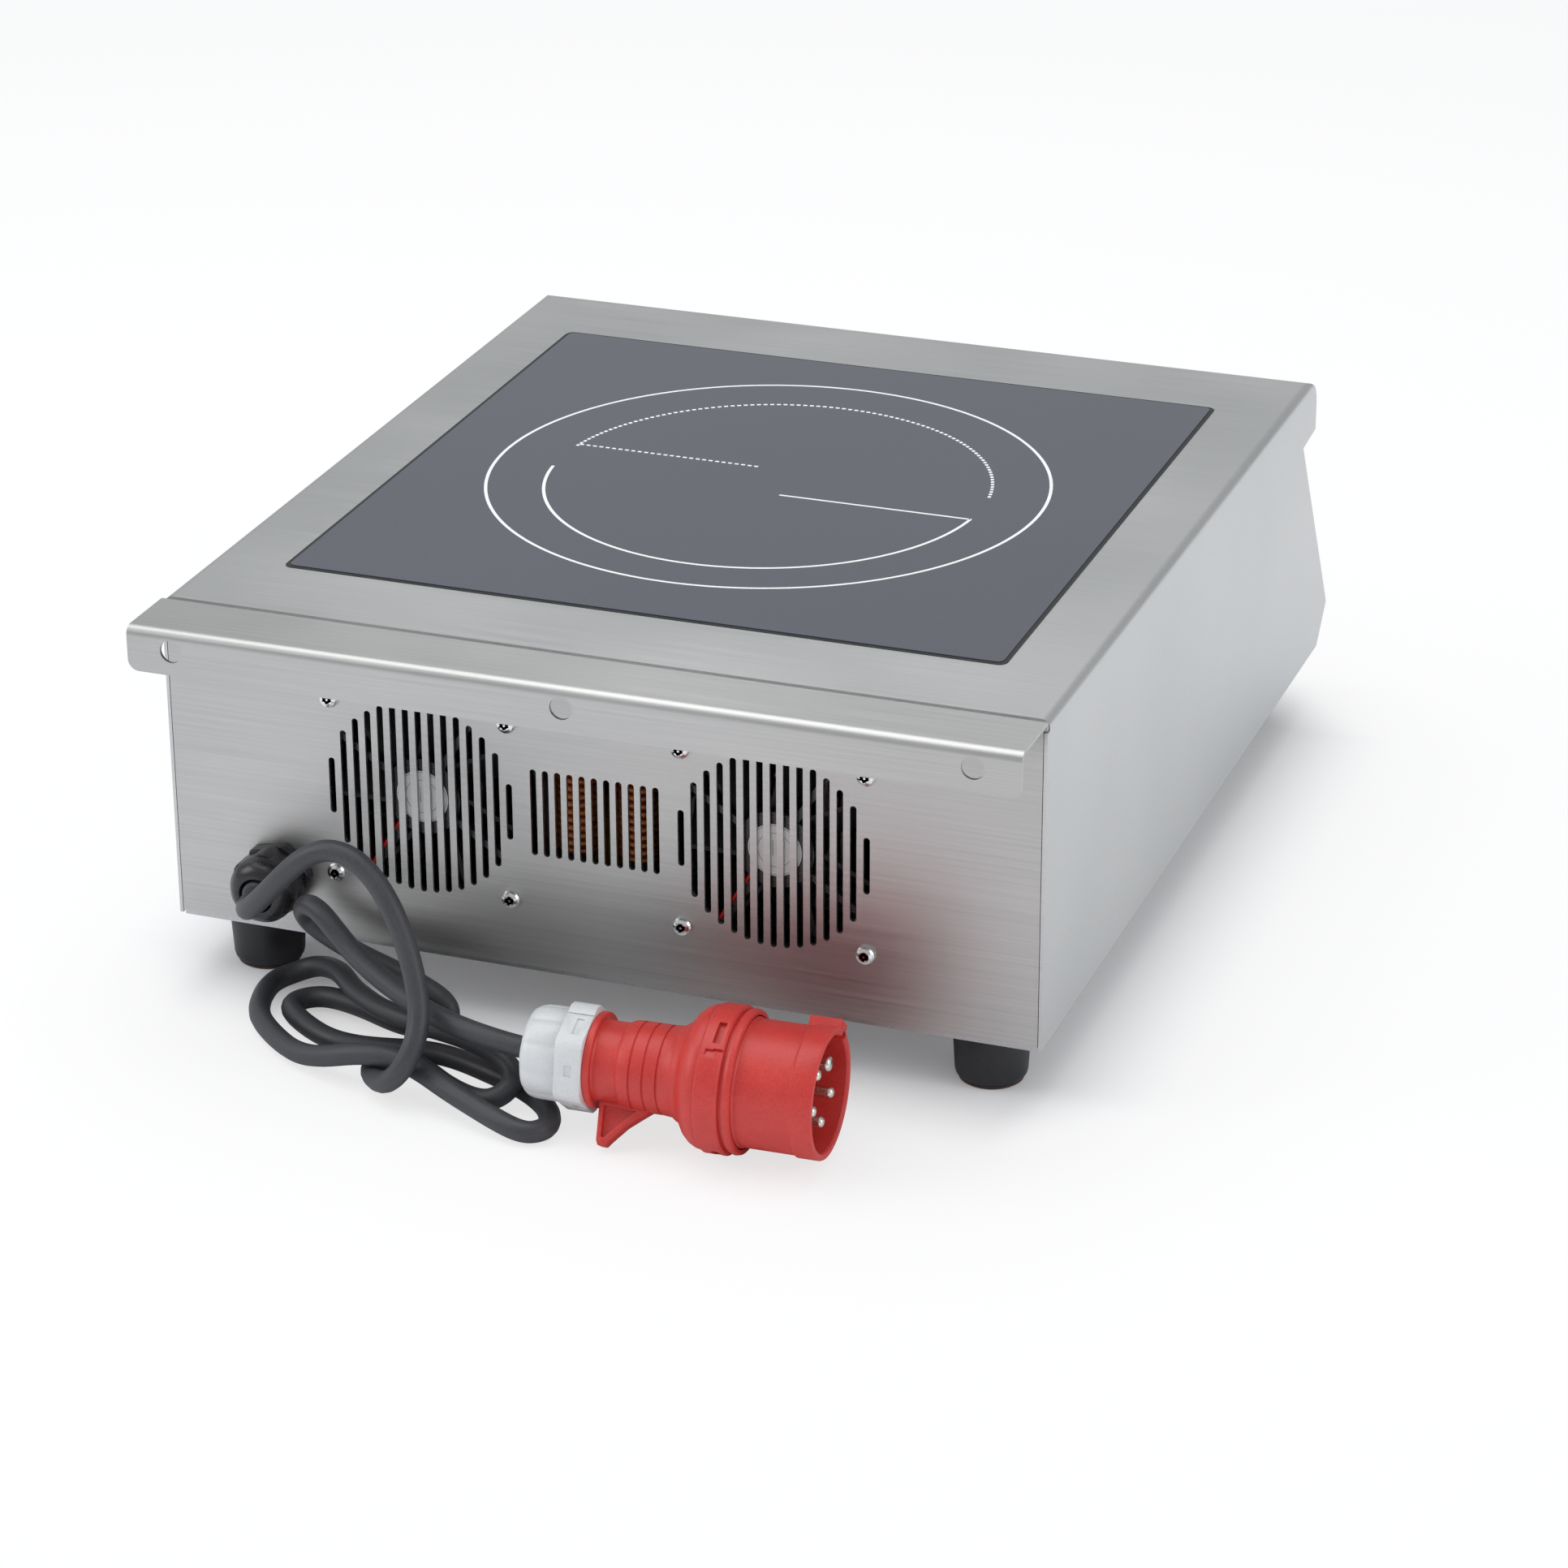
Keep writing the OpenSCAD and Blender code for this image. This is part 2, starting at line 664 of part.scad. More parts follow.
module fan_frame(side) {
    translate([side*fan_x, 0, fan_z]) {
        difference() {
            along_y(fan_y0, panel_inner_y) rounded_square(fan_size, fan_size, 4);
            translate([0, fan_y0 - cut, 0]) rotate([-90, 0, 0]) cylinder(r = throat_r, h = fan_depth + 2*cut);
            for (sx = [-1, 1], sz = [-1, 1])
                translate([sx*fan_screws_pitch/2, fan_y0 - cut, sz*fan_screws_pitch/2]) rotate([-90, 0, 0])
                    cylinder(r = screw_hole_r, h = fan_depth + 2*cut, $fn = 32);
            for (s = [-1, 1]) {
                translate([s*(fan_size/2), fan_y0 + fan_depth/2, 0])
                    cube([6, fan_depth - 8, fan_size - 26], center = true);
                translate([0, fan_y0 + fan_depth/2, s*(fan_size/2)])
                    cube([fan_size - 26, fan_depth - 8, 6], center = true);
            }
        }
        translate([0, seat_y - seat_t, 0]) rotate([-90, 0, 0]) cylinder(r = hub_r, h = seat_t);
        for (i = [0:3]) translate([0, seat_y - seat_t, 0]) rotate([0, strut_turn + 90*i, 0])
            translate([hub_r - 2, 0, -strut_w/2]) cube([throat_r - hub_r + 3, seat_t, strut_w]);
        translate([0, fan_y0 + 6, 0]) rotate([-90, 0, 0]) difference() {
            cylinder(r = 5, h = seat_y - seat_t - fan_y0 - 6 + eps);
            translate([0, 0, -cut]) cylinder(r = fan_shaft_r + run, h = fan_depth, $fn = 48);
        }
    }
}

module fan_rotor(side) {
    blade_r = throat_r - tip_gap;
    y0 = fan_y0 + 1.5;
    y1 = seat_y - seat_t - 1.2;
    deep = y1 - y0;
    translate([side*fan_x, y0, fan_z]) rotate([-90, 0, 0]) {
        difference() {
            cylinder(r = hub_r, h = deep);
            translate([0, 0, 2]) cylinder(r = hub_r - 1.6, h = deep);
        }
        cylinder(r = fan_shaft_r, h = deep - 1, $fn = 48);
        intersection() {
            difference() {
                cylinder(r = blade_r, h = deep);
                translate([0, 0, -cut]) cylinder(r = hub_r - 0.8, h = deep + 2*cut);
            }
            for (i = [0:6]) rotate([0, 0, i*360/7]) translate([hub_r - 2, 0, deep/2]) rotate([52, 0, 0])
                translate([0, -deep, -0.8]) cube([blade_r, 2*deep, 1.6]);
        }
    }
}

module fan_left_frame() {
    color([0.1, 0.1, 0.1]) fan_frame(1);
}

module fan_right_frame() {
    color([0.1, 0.1, 0.1]) fan_frame(-1);
}

module fan_left_rotor() {
    color([0.16, 0.16, 0.17]) fan_rotor(1);
}

module fan_right_rotor() {
    color([0.16, 0.16, 0.17]) fan_rotor(-1);
}

module fan_labels() {
    color("white") for (s = [-1, 1]) translate([s*fan_x, seat_y, fan_z]) rotate([-90, 0, 0])
        cylinder(r = 12, h = 0.3);
}

module fan_leads() {
    lead_r = 0.9;
    color("red") for (s = [-1, 1]) translate([s*fan_x, seat_y - lead_r, fan_z]) rotate([0, strut_turn, 0])
        translate([hub_r + 0.1, 0, strut_w/2 + lead_r]) rotate([0, 90, 0])
            cylinder(r = lead_r, h = throat_r - hub_r - 0.3, $fn = 24);
}

module fan_screws() {
    color("whitesmoke") for (s = [-1, 1], sx = [-1, 1], sy = [-1, 1])
        on_rear(s*fan_x + sx*fan_screws_pitch/2, fan_z + sy*fan_screws_pitch/2)
            pan_screw(4.2, 2.6, screw_hole_r - 0.2, fan_depth + sheet_t - 2);
}

// ================= controls =================

module control_overlay() {
    color([0.12, 0.12, 0.13]) on_fascia() difference() {
        slab(overlay_w, overlay_h, overlay_t, 5);
        translate([window_x, 0, -cut]) slab(window_w + 0.6, window_h + 0.6, 4, 2);
        for (x = buttons_x) translate([x, 0, -cut]) cylinder(r = button_hole, h = 4);
        translate([knob_x, 0, -cut]) cylinder(r = bushing_r + fit, h = 4);
    }
}

module display_window() {
    color([0.35, 0.03, 0.03]) on_fascia() translate([window_x, 0, -2]) slab(window_w, window_h, 2.9, 2);
}

module display_module() {
    color([0.1, 0.1, 0.1]) on_fascia() translate([window_x, 0, -board_back])
        slab(window_w - 6, window_h - 4, board_back - 2, 1);
}

module control_board() {
    color("darkgreen") on_fascia() translate([0, 0, -board_back - board_t]) slab(control_w, control_h, board_t, 2);
}

module encoder_body() {
    color("gray") on_fascia() translate([knob_x, 0, -board_back]) difference() {
        union() {
            slab(14, 14, board_back - 3, 1);
            cylinder(r = bushing_r, h = board_back + 4.5);
        }
        translate([0, 0, 3]) cylinder(r = shaft_r + run, h = board_back + 4.5);
    }
}

module encoder_shaft() {
    color("silver") on_fascia() translate([knob_x, 0, -board_back + 3.3]) cylinder(r = shaft_r, h = board_back - 3.3 + shaft_top);
}

module control_knob() {
    skirt = overlay_t + 0.4;
    color([0.1, 0.1, 0.1]) on_fascia() translate([knob_x, 0, 0]) difference() {
        union() {
            translate([0, 0, skirt]) cylinder(r = knob_r, h = 3);
            translate([0, 0, skirt + 3 - eps]) cylinder(r1 = knob_r - 2, r2 = knob_r - 3.5, h = knob_h - 4);
            translate([0, 0, knob_h + skirt - 1 - eps]) cylinder(r1 = knob_r - 3.5, r2 = knob_r - 5, h = 1);
        }
        translate([0, 0, skirt - cut]) cylinder(r = bushing_r + 1, h = 6.5 - skirt + cut);
        translate([0, 0, 0]) cylinder(r = shaft_r, h = shaft_top + 0.2);
        translate([-0.8, knob_r - 11, knob_h + skirt - 0.6]) cube([1.6, 8, 2]);
    }
}

module push_button(i) {
    on_fascia() translate([buttons_x[i], 0, 0]) {
        translate([0, 0, -2.4]) cylinder(r = button_r, h = button_out + 2.4 - 0.6);
        translate([0, 0, button_out - 0.6 - eps]) cylinder(r1 = button_r, r2 = button_r - 0.6, h = 0.6 + eps);
        translate([0, 0, -4.4]) cylinder(r = button_r + 1.4, h = 2.2);
        translate([0, 0, -8.5]) cylinder(r = 2, h = 5, $fn = 32);
    }
}

module power_button() {
    color("firebrick") push_button(0);
}

module mode_button() {
    color("gainsboro") push_button(1);
}

module timer_less_button() {
    color("gainsboro") push_button(2);
}

module timer_more_button() {
    color("gainsboro") push_button(3);
}

module button_switches() {
    top = -8.5 - button_travel - fit;
    color("dimgray") on_fascia() for (x = buttons_x)
        translate([x, 0, -board_back]) slab(6, 6, board_back + top, 0.6);
}

// ================= feet and fasteners =================

module foot(sx, i) {
    color([0.09, 0.09, 0.1]) translate([sx*foot_x, feet_y[i], 0]) difference() {
        union() {
            cylinder(r1 = foot_sole_r - 1.6, r2 = foot_sole_r, h = 2);
            translate([0, 0, 2 - eps]) cylinder(r1 = foot_sole_r, r2 = foot_top_r, h = foot_h - 2 + eps);
        }
        translate([0, 0, -cut]) cylinder(r = foot_sink_r, h = foot_sink_h + cut);
        translate([0, 0, -cut]) cylinder(r = foot_bore_r, h = foot_h + 2*cut, $fn = 32);
    }
}

module foot_rear_left() {
    foot(1, 0);
}

module foot_rear_right() {
    foot(-1, 0);
}

module foot_front_left() {
    foot(1, 1);
}

module foot_front_right() {
    foot(-1, 1);
}

module foot_screws() {
    color("silver") for (s = [-1, 1], y = feet_y) translate([s*foot_x, y, foot_sink_h]) {
        translate([0, 0, -3]) cylinder(r = 5, h = 3, $fn = 40);
        translate([0, 0, -eps]) cylinder(r = 2.5, h = foot_h - foot_sink_h + sheet_t + 6, $fn = 32);
        translate([0, 0, foot_h - foot_sink_h + sheet_t]) cylinder(r = 5.2, h = 4, $fn = 6);
    }
}

module panel_screws() {
    color("whitesmoke") panel_screw_places() pan_screw(4, 2.4, 2, 8);
}

module base_screws() {
    color("whitesmoke") base_screw_places() translate([0, 0, pan_z]) rotate([180, 0, 0]) pan_screw(3.8, 2.2, 2, 6);
}

// ================= gland, lead and plug =================

module gland_body() {
    color([0.07, 0.07, 0.07]) on_rear(gland_x, gland_z) difference() {
        union() {
            translate([0, 0, -11]) cylinder(r = gland_thread_r, h = gland_len + 5);
            rotate([0, 0, 12]) cylinder(r = gland_hex_r, h = 5, $fn = 6);
        }
        translate([0, 0, -11 - cut]) cylinder(r = gland_mouth_r, h = gland_len + 9);
    }
}

module gland_nut() {
    color([0.07, 0.07, 0.07]) on_rear(gland_x, gland_z) difference() {
        union() {
            translate([0, 0, 5.3]) rotate([0, 0, 32]) cylinder(r = gland_hex_r - 0.4, h = 9, $fn = 6);
            translate([0, 0, 14.3 - eps]) cylinder(r1 = 14, r2 = 13, h = gland_len - 18);
            translate([0, 0, gland_len - 3.8]) cylinder(r1 = 13, r2 = 10, h = 3.8);
        }
        translate([0, 0, 5]) cylinder(r = gland_thread_r + run, h = gland_len - 11 + run);
        cylinder(r = gland_mouth_r, h = gland_len + cut);
    }
}

module gland_locknut() {
    color([0.1, 0.1, 0.1]) on_rear(gland_x, gland_z) translate([0, 0, -sheet_t - 5]) difference() {
        cylinder(r = gland_hex_r, h = 5, $fn = 6);
        translate([0, 0, -cut]) cylinder(r = gland_thread_r + run, h = 5 + 2*cut);
    }
}

// Sweep of a round section along the points: one ring of corners at each point.
function unit(v) = v/norm(v);
function heading(p, i) = unit(p[min(i + 1, len(p) - 1)] - p[max(i - 1, 0)]);
function side_step(p, i) = i == 0
    ? unit(cross(heading(p, 0), [0, 0, 1]))
    : let (prev = side_step(p, i - 1), h = heading(p, i)) unit(prev - (prev*h)*h);
function ring(p, i, r, n) = let (h = heading(p, i), a = side_step(p, i), b = cross(h, a))
    [for (k = [0:n - 1]) p[i] + r*(cos(360*k/n)*a + sin(360*k/n)*b)];

module swept_tube(p, r, n) {
    last = len(p) - 1;
    corners = [for (i = [0:last]) each ring(p, i, r, n)];
    walls = [for (i = [0:last - 1], k = [0:n - 1])
        let (m = (k + 1) % n) each [[i*n + k, i*n + m, (i + 1)*n + m], [i*n + k, (i + 1)*n + m, (i + 1)*n + k]]];
    near = [[for (k = [0:n - 1]) n - 1 - k]];
    far = [[for (k = [0:n - 1]) last*n + k]];
    polyhedron(corners, concat(walls, near, far), convexity = 20);
}

module power_cord() {
    color([0.2, 0.2, 0.21]) swept_tube(CORD, cord_r, cord_sides);
}

module plug_nut() {
    color("lightgray") on_plug() difference() {
        union() {
            translate([0, 0, ring_end]) cylinder(r = 19, h = 14);
            translate([0, 0, plug_end - 3 - eps]) cylinder(r1 = 19, r2 = 15.5, h = 3);
            for (i = [0:11]) rotate([0, 0, i*30]) translate([17, -2.2, ring_end]) cube([3, 4.4, 13]);
        }
        translate([0, 0, ring_end - cut]) cylinder(r = gland_mouth_r, h = 30);
    }
}

module plug_ring() {
    color("lightgray") on_plug() translate([0, 0, plug_flange_end]) difference() {
        rotate([0, 0, 10]) cylinder(r = 23.7, h = ring_end - plug_flange_end, $fn = 6);
        translate([0, 0, -cut]) cylinder(r = 14, h = 20);
    }
}

module plug_body() {
    hook = [[neck_end - 2, neck_r - 1], [neck_end - 4, 36], [neck_end - 8, 36],
        [neck_end - 14, 30], [neck_end - 20, 22], [neck_end - 25, neck_r - 1]];
    color("crimson") on_plug() {
        difference() {
            rotate_extrude() polygon([
                [14, collar_end], [collar_r - 1.5, collar_end], [collar_r - 2, collar_end + 5],
                [collar_r - 6, bell_end - 4], [neck_r + 2.6, bell_end], [neck_r + 1.6, bell_end + 3],
                [neck_r + 1.6, bell_end + 23], [neck_r, bell_end + 26], [neck_r, neck_end],
                [20.2, neck_end], [20.2, plug_flange_end], [14, plug_flange_end]
            ]);
            for (s = [bell_end + 8, bell_end + 14, bell_end + 20]) translate([0, 0, s]) difference() {
                cylinder(r = 30, h = 0.8);
                translate([0, 0, -cut]) cylinder(r = neck_r + 1.1, h = 3);
            }
        }
        rotate([0, 0, -55]) rotate([0, -90, 0]) translate([0, 0, -3]) linear_extrude(6) polygon(hook);
    }
}

module plug_collar() {
    color("red") on_plug() difference() {
        rotate_extrude() polygon([
            [shroud_lip_r + 0.4, collar_s], [collar_r - 1.5, collar_s], [collar_r - 0.8, collar_s + 3],
            [collar_r - 2.2, collar_s + 3.4], [collar_r - 2.2, collar_s + 4.4], [collar_r, collar_s + 5],
            [collar_r, collar_end], [shroud_lip_r + 0.4, collar_end]
        ]);
        for (i = [0:7]) rotate([0, 0, i*45 + 12]) translate([collar_r - 1.6, -3, collar_s + 7]) cube([4, 6, 6]);
    }
}

module plug_shroud() {
    hollow_r = shroud_r - shroud_wall;
    color("crimson") on_plug() difference() {
        union() {
            rotate_extrude() difference() {
                polygon([
                    [0, 0], [shroud_lip_r - 0.6, 0], [shroud_lip_r, 0.8], [shroud_lip_r, rim_len],
                    [shroud_r, rim_len + 0.6], [shroud_r, collar_end], [0, collar_end]
                ]);
                translate([-cut, -cut]) square([hollow_r + cut, shroud_len - 4 + cut]);
            }
            rotate([0, 0, pin_turn]) translate([shroud_lip_r - 2, -4, 1]) cube([5.5, 8, 13]);
        }
        for (i = [0:4]) plug_pin_place(i) translate([0, 0, shroud_len - 6]) cylinder(r = pin_r(i), h = 30, $fn = 40);
        rotate([0, 0, pin_turn]) translate([hollow_r - 2, -2.2, -cut]) cube([4, 4.4, 22]);
    }
}

function pin_r(i) = i == 0 ? 3.5 : 2.5;

module plug_pin_place(i) {
    rotate([0, 0, pin_turn + i*72]) translate([pin_circle_r, 0, 0]) children();
}

module plug_pins() {
    color("silver") on_plug() for (i = [0:4]) plug_pin_place(i) {
        translate([0, 0, pin_tip + 1.5]) cylinder(r = pin_r(i), h = shroud_len + 6 - pin_tip, $fn = 40);
        translate([0, 0, pin_tip]) cylinder(r1 = pin_r(i) - 1.2, r2 = pin_r(i), h = 1.5 + eps, $fn = 40);
    }
}

top_cover();
rear_panel();
base_pan();
front_panel();
glass_frame();
glass_plate();
glass_seal();
mica_sheet();
coil_winding();
coil_tray();
ferrite_bars();
coil_sensor();
coil_supports();
power_board();
heatsink();
power_modules();
rectifier();
capacitors();
choke_core();
choke_winding();
filter_board();
terminal_block();
earth_stud();
mains_wires();
fan_left_frame();
fan_left_rotor();
fan_right_frame();
fan_right_rotor();
fan_labels();
fan_leads();
fan_screws();
control_overlay();
display_window();
display_module();
control_board();
encoder_body();
encoder_shaft();
control_knob();
power_button();
mode_button();
timer_less_button();
timer_more_button();
button_switches();
foot_rear_left();
foot_rear_right();
foot_front_left();
foot_front_right();
foot_screws();
panel_screws();
base_screws();
gland_body();
gland_nut();
gland_locknut();
power_cord();
plug_nut();
plug_ring();
plug_body();
plug_collar();
plug_shroud();
plug_pins();
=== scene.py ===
# %% [markdown]
# A counter-top induction cooking plate, seen from behind, with its lead and five-pin plug.
# The hard parts come from the CAD frame; Blender adds the finishes and the fine detail that
# a maker would get from moulds, presses and print. Everything is in metres.

# %% Load the frame
import json
import math
import bmesh
import bpy
from mathutils import Matrix, Vector


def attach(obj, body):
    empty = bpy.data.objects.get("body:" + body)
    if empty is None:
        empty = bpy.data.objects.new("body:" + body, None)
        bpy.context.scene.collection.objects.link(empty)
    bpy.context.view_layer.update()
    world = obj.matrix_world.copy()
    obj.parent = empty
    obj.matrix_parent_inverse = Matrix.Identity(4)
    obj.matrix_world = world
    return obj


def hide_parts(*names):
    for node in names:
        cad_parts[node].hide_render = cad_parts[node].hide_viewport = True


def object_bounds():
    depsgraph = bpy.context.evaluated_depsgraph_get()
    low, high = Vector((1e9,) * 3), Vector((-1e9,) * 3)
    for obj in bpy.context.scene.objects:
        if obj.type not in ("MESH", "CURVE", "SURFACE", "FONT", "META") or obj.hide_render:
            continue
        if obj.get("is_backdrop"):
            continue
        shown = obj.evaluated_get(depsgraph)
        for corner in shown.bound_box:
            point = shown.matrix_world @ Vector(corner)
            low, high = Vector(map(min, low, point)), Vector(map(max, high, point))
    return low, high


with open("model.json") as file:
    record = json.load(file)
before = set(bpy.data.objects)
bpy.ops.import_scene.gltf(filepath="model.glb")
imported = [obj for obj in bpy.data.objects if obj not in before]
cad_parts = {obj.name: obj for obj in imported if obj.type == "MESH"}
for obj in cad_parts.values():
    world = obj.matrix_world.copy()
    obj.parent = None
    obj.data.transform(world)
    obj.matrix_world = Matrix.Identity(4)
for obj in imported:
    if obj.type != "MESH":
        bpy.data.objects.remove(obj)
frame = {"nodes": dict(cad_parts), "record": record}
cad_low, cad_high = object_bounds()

MM = 0.001
HOUSING = "housing"
scene = bpy.context.scene

# %% Object helpers
def placed(name, data):
    """A new object, linked into the scene."""
    made = bpy.data.objects.new(name, data)
    scene.collection.objects.link(made)
    return made


def plain_mesh(target):
    """The mesh that a curve, a text or a mesh with modifiers comes to."""
    graph = bpy.context.evaluated_depsgraph_get()
    graph.update()
    return bpy.data.meshes.new_from_object(target.evaluated_get(graph))


# %% [markdown]
# The camera stands behind and to the right of the plate, about 2.1 m off, with a long lens.
# Its three axes are written out, because a small roll belongs to the view.

# %% Camera
CAMERA_AT = Vector((-0.7188, 1.9524, 0.9754))
CAMERA_RIGHT = Vector((-0.93967, -0.34207, -0.00377))
CAMERA_UP = Vector((0.13874, -0.39117, 0.90980))
lens = bpy.data.cameras.new("camera")
lens.lens, lens.sensor_width, lens.clip_end = 111.5, 36.0, 50.0
camera = placed("camera", lens)
axes = Matrix((CAMERA_RIGHT, CAMERA_UP, CAMERA_RIGHT.cross(CAMERA_UP))).transposed()
camera.matrix_world = Matrix.Translation(CAMERA_AT) @ axes.to_4x4()
scene.camera = camera
print("camera", tuple(round(v, 3) for v in CAMERA_AT), "lens", lens.lens)

# %% [markdown]
# The lead is rubber-sheathed cable, 9.5 mm thick. It lies where it was put down, looped into a
# loose hank behind the gland. One smooth line runs through the same points as the CAD tube, and
# a round section follows it, so its length and its crossings are real.

# %% Route of the lead, in millimetres
ROUTE = [
    (150, 228, 56), (150, 250, 56), (148, 262, 57), (142, 270, 61), (125, 275, 80),
    (115, 274, 91), (104, 273, 98), (92, 274, 98), (80, 277, 92), (70, 280, 80),
    (62, 284, 66), (55, 290, 51), (50, 298, 38), (50, 307, 27), (56, 310, 16),
    (65, 307, 8), (79, 291, 5), (78, 282, 5), (69, 277, 5), (59, 279, 5),
    (43, 292, 5), (24, 301, 5), (15, 299, 7), (10, 293, 12), (13, 286, 16),
    (34, 277, 21), (60, 276, 23), (84, 265, 21), (95, 256, 20), (106, 246, 18),
    (117, 232, 17), (128, 221, 13), (139, 214, 9), (149, 218, 5), (155, 229, 5),
    (149, 254, 5), (140, 266, 5), (128, 277, 5), (114, 287, 5), (99, 293, 9),
    (84, 296, 15), (69, 296, 17), (54, 297, 15), (38, 305, 12), (22, 311, 9),
    (-2, 320, 5), (-10, 318, 5), (-14, 310, 5), (-6, 294, 5), (14, 281, 5),
    (27, 276, 5), (41, 270, 5), (55, 266, 5), (69, 267, 5), (84, 271, 5),
    (98, 272, 5), (112, 268, 5), (133, 253, 5), (137, 244, 5), (132, 236, 5),
    (122, 234, 6), (99, 245, 9), (77, 256, 9), (57, 258, 13), (54, 258, 20),
    (57, 257, 27), (78, 252, 32), (92, 247, 33), (106, 242, 34), (127, 238, 41),
    (131, 241, 49), (127, 246, 56), (118, 250, 57), (98, 263, 45), (75, 274, 38),
    (61, 280, 35), (46, 287, 34), (31, 292, 33), (6, 296, 31.5), (-6, 295.6, 31.5)
]
CORD_R = 4.75*MM


def smooth_line(points, steps):
    """Points of the uniform cubic B-spline that the route's points steer."""
    p = [Vector(q)*MM for q in points]
    p = [2*p[0] - p[1]] + p + [2*p[-1] - p[-2]]
    line = []
    for a, b, c, d in zip(p, p[1:], p[2:], p[3:]):
        for k in range(steps):
            t = k/steps
            line.append((a*(1 - t)**3 + b*(3*t**3 - 6*t*t + 4)
                         + c*(3*t*t + 3*t + 1 - 3*t**3) + d*t**3)/6)
    line.append((p[-3] + 4*p[-2] + p[-1])/6)
    return line


cord_line = smooth_line(ROUTE, 8)
cord_curve = bpy.data.curves.new("lead", "CURVE")
cord_curve.dimensions = "3D"
spline = cord_curve.splines.new("POLY")
spline.points.add(len(cord_line) - 1)
for knot, at in zip(spline.points, cord_line):
    knot.co = (*at, 1)
cord_curve.bevel_depth, cord_curve.bevel_resolution = CORD_R, 6
cord_curve.use_fill_caps = True
spline.use_smooth = True
cord_guide = placed("lead_guide", cord_curve)
cord = placed("lead", plain_mesh(cord_guide))
bpy.data.objects.remove(cord_guide)
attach(cord, HOUSING)
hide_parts("power_cord")

# %% [markdown]
# A pale floor and soft studio light. The floor glows a little to the camera only, so that it
# stays near white round the plate and still takes its shadow. The glow fades under the plate,
# a painted shade that keeps the floor between the feet dark.


# %% Node helpers
def tree_tools(tree):
    """Two short functions that add and join nodes in one tree."""
    def add(kind, **values):
        made = tree.nodes.new(kind)
        for key, value in values.items():
            if key.startswith("in_"):
                made.inputs[int(key[3:])].default_value = value
            else:
                setattr(made, key, value)
        return made

    def join(start, end):
        tree.links.new(start, end)
    return add, join


def new_material(name):
    made = bpy.data.materials.new(name)
    made.use_nodes = True
    made.node_tree.nodes.clear()
    return made


# %% Floor, world and lamps
# Painted shade: inside this box under the plate the floor's glow drops to its low share, so the floor there
# reads dark.
SHADE_HALF_X, SHADE_HALF_Y, SHADE_FADE = 0.185, 0.20, 0.07
PAINTED_SHADE_GLOW, GLOW_OPEN = 0.12, 0.72
FLOOR_HALF = 6.0


def floor_material():
    made = new_material("floor_paper")
    add, join = tree_tools(made.node_tree)
    out = add("ShaderNodeOutputMaterial")
    lit = add("ShaderNodeBsdfDiffuse")
    lit.inputs["Color"].default_value = (0.93, 0.935, 0.95, 1)
    glow = add("ShaderNodeEmission")
    glow.inputs["Strength"].default_value = 1.0
    ray = add("ShaderNodeLightPath")
    share = add("ShaderNodeMath", operation="MULTIPLY")
    blend = add("ShaderNodeMixShader")
    place = add("ShaderNodeNewGeometry")
    axes = add("ShaderNodeSeparateXYZ")
    join(place.outputs["Position"], axes.inputs[0])
    beyond = []
    for axis, half in (("X", SHADE_HALF_X), ("Y", SHADE_HALF_Y)):
        size = add("ShaderNodeMath", operation="ABSOLUTE")
        past = add("ShaderNodeMath", operation="SUBTRACT", in_1=half)
        kept = add("ShaderNodeMath", operation="MAXIMUM", in_1=0.0)
        join(axes.outputs[axis], size.inputs[0])
        join(size.outputs[0], past.inputs[0])
        join(past.outputs[0], kept.inputs[0])
        beyond.append(kept)
    away = add("ShaderNodeMath", operation="ADD")
    join(beyond[0].outputs[0], away.inputs[0])
    join(beyond[1].outputs[0], away.inputs[1])
    # Painted shade: the glow share falls from its open value to its low value towards the box under the
    # plate.
    fade = add("ShaderNodeMapRange")
    fade.interpolation_type = "SMOOTHSTEP"
    limits = {"From Min": 0.0, "From Max": SHADE_FADE, "To Min": PAINTED_SHADE_GLOW, "To Max": GLOW_OPEN}
    for key, value in limits.items():
        fade.inputs[key].default_value = value
    join(away.outputs[0], fade.inputs["Value"])
    join(ray.outputs["Is Camera Ray"], share.inputs[0])
    join(fade.outputs["Result"], share.inputs[1])
    join(share.outputs[0], blend.inputs[0])
    join(lit.outputs[0], blend.inputs[1])
    join(glow.outputs[0], blend.inputs[2])
    join(blend.outputs[0], out.inputs["Surface"])
    return made


floor_mesh = bpy.data.meshes.new("floor")
floor_corners = [(-FLOOR_HALF, -FLOOR_HALF, 0), (FLOOR_HALF, -FLOOR_HALF, 0),
                 (FLOOR_HALF, FLOOR_HALF, 0), (-FLOOR_HALF, FLOOR_HALF, 0)]
floor_mesh.from_pydata(floor_corners, [], [(0, 1, 2, 3)])
floor_mesh.materials.append(floor_material())
placed("floor", floor_mesh)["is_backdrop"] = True

world = bpy.data.worlds.new("studio")
scene.world = world
world.use_nodes = True
world.node_tree.nodes.clear()
add, join = tree_tools(world.node_tree)
sky = add("ShaderNodeBackground")
sky.inputs["Color"].default_value = (0.95, 0.97, 1.0, 1)
sky.inputs["Strength"].default_value = 0.50
white = add("ShaderNodeBackground")
white.inputs["Strength"].default_value = 1.0
ray = add("ShaderNodeLightPath")
pick = add("ShaderNodeMixShader")
join(ray.outputs["Is Camera Ray"], pick.inputs[0])
join(sky.outputs[0], pick.inputs[1])
join(white.outputs[0], pick.inputs[2])
join(pick.outputs[0], add("ShaderNodeOutputWorld").inputs["Surface"])


def softbox(name, at, aim, width, height, power):
    """A rectangular lamp that faces its aim."""
    data = bpy.data.lights.new(name, "AREA")
    data.shape, data.size, data.size_y = "RECTANGLE", width, height
    data.energy = power
    made = placed(name, data)
    made.location = at
    made.rotation_euler = (Vector(aim) - Vector(at)).to_track_quat("-Z", "Y").to_euler()


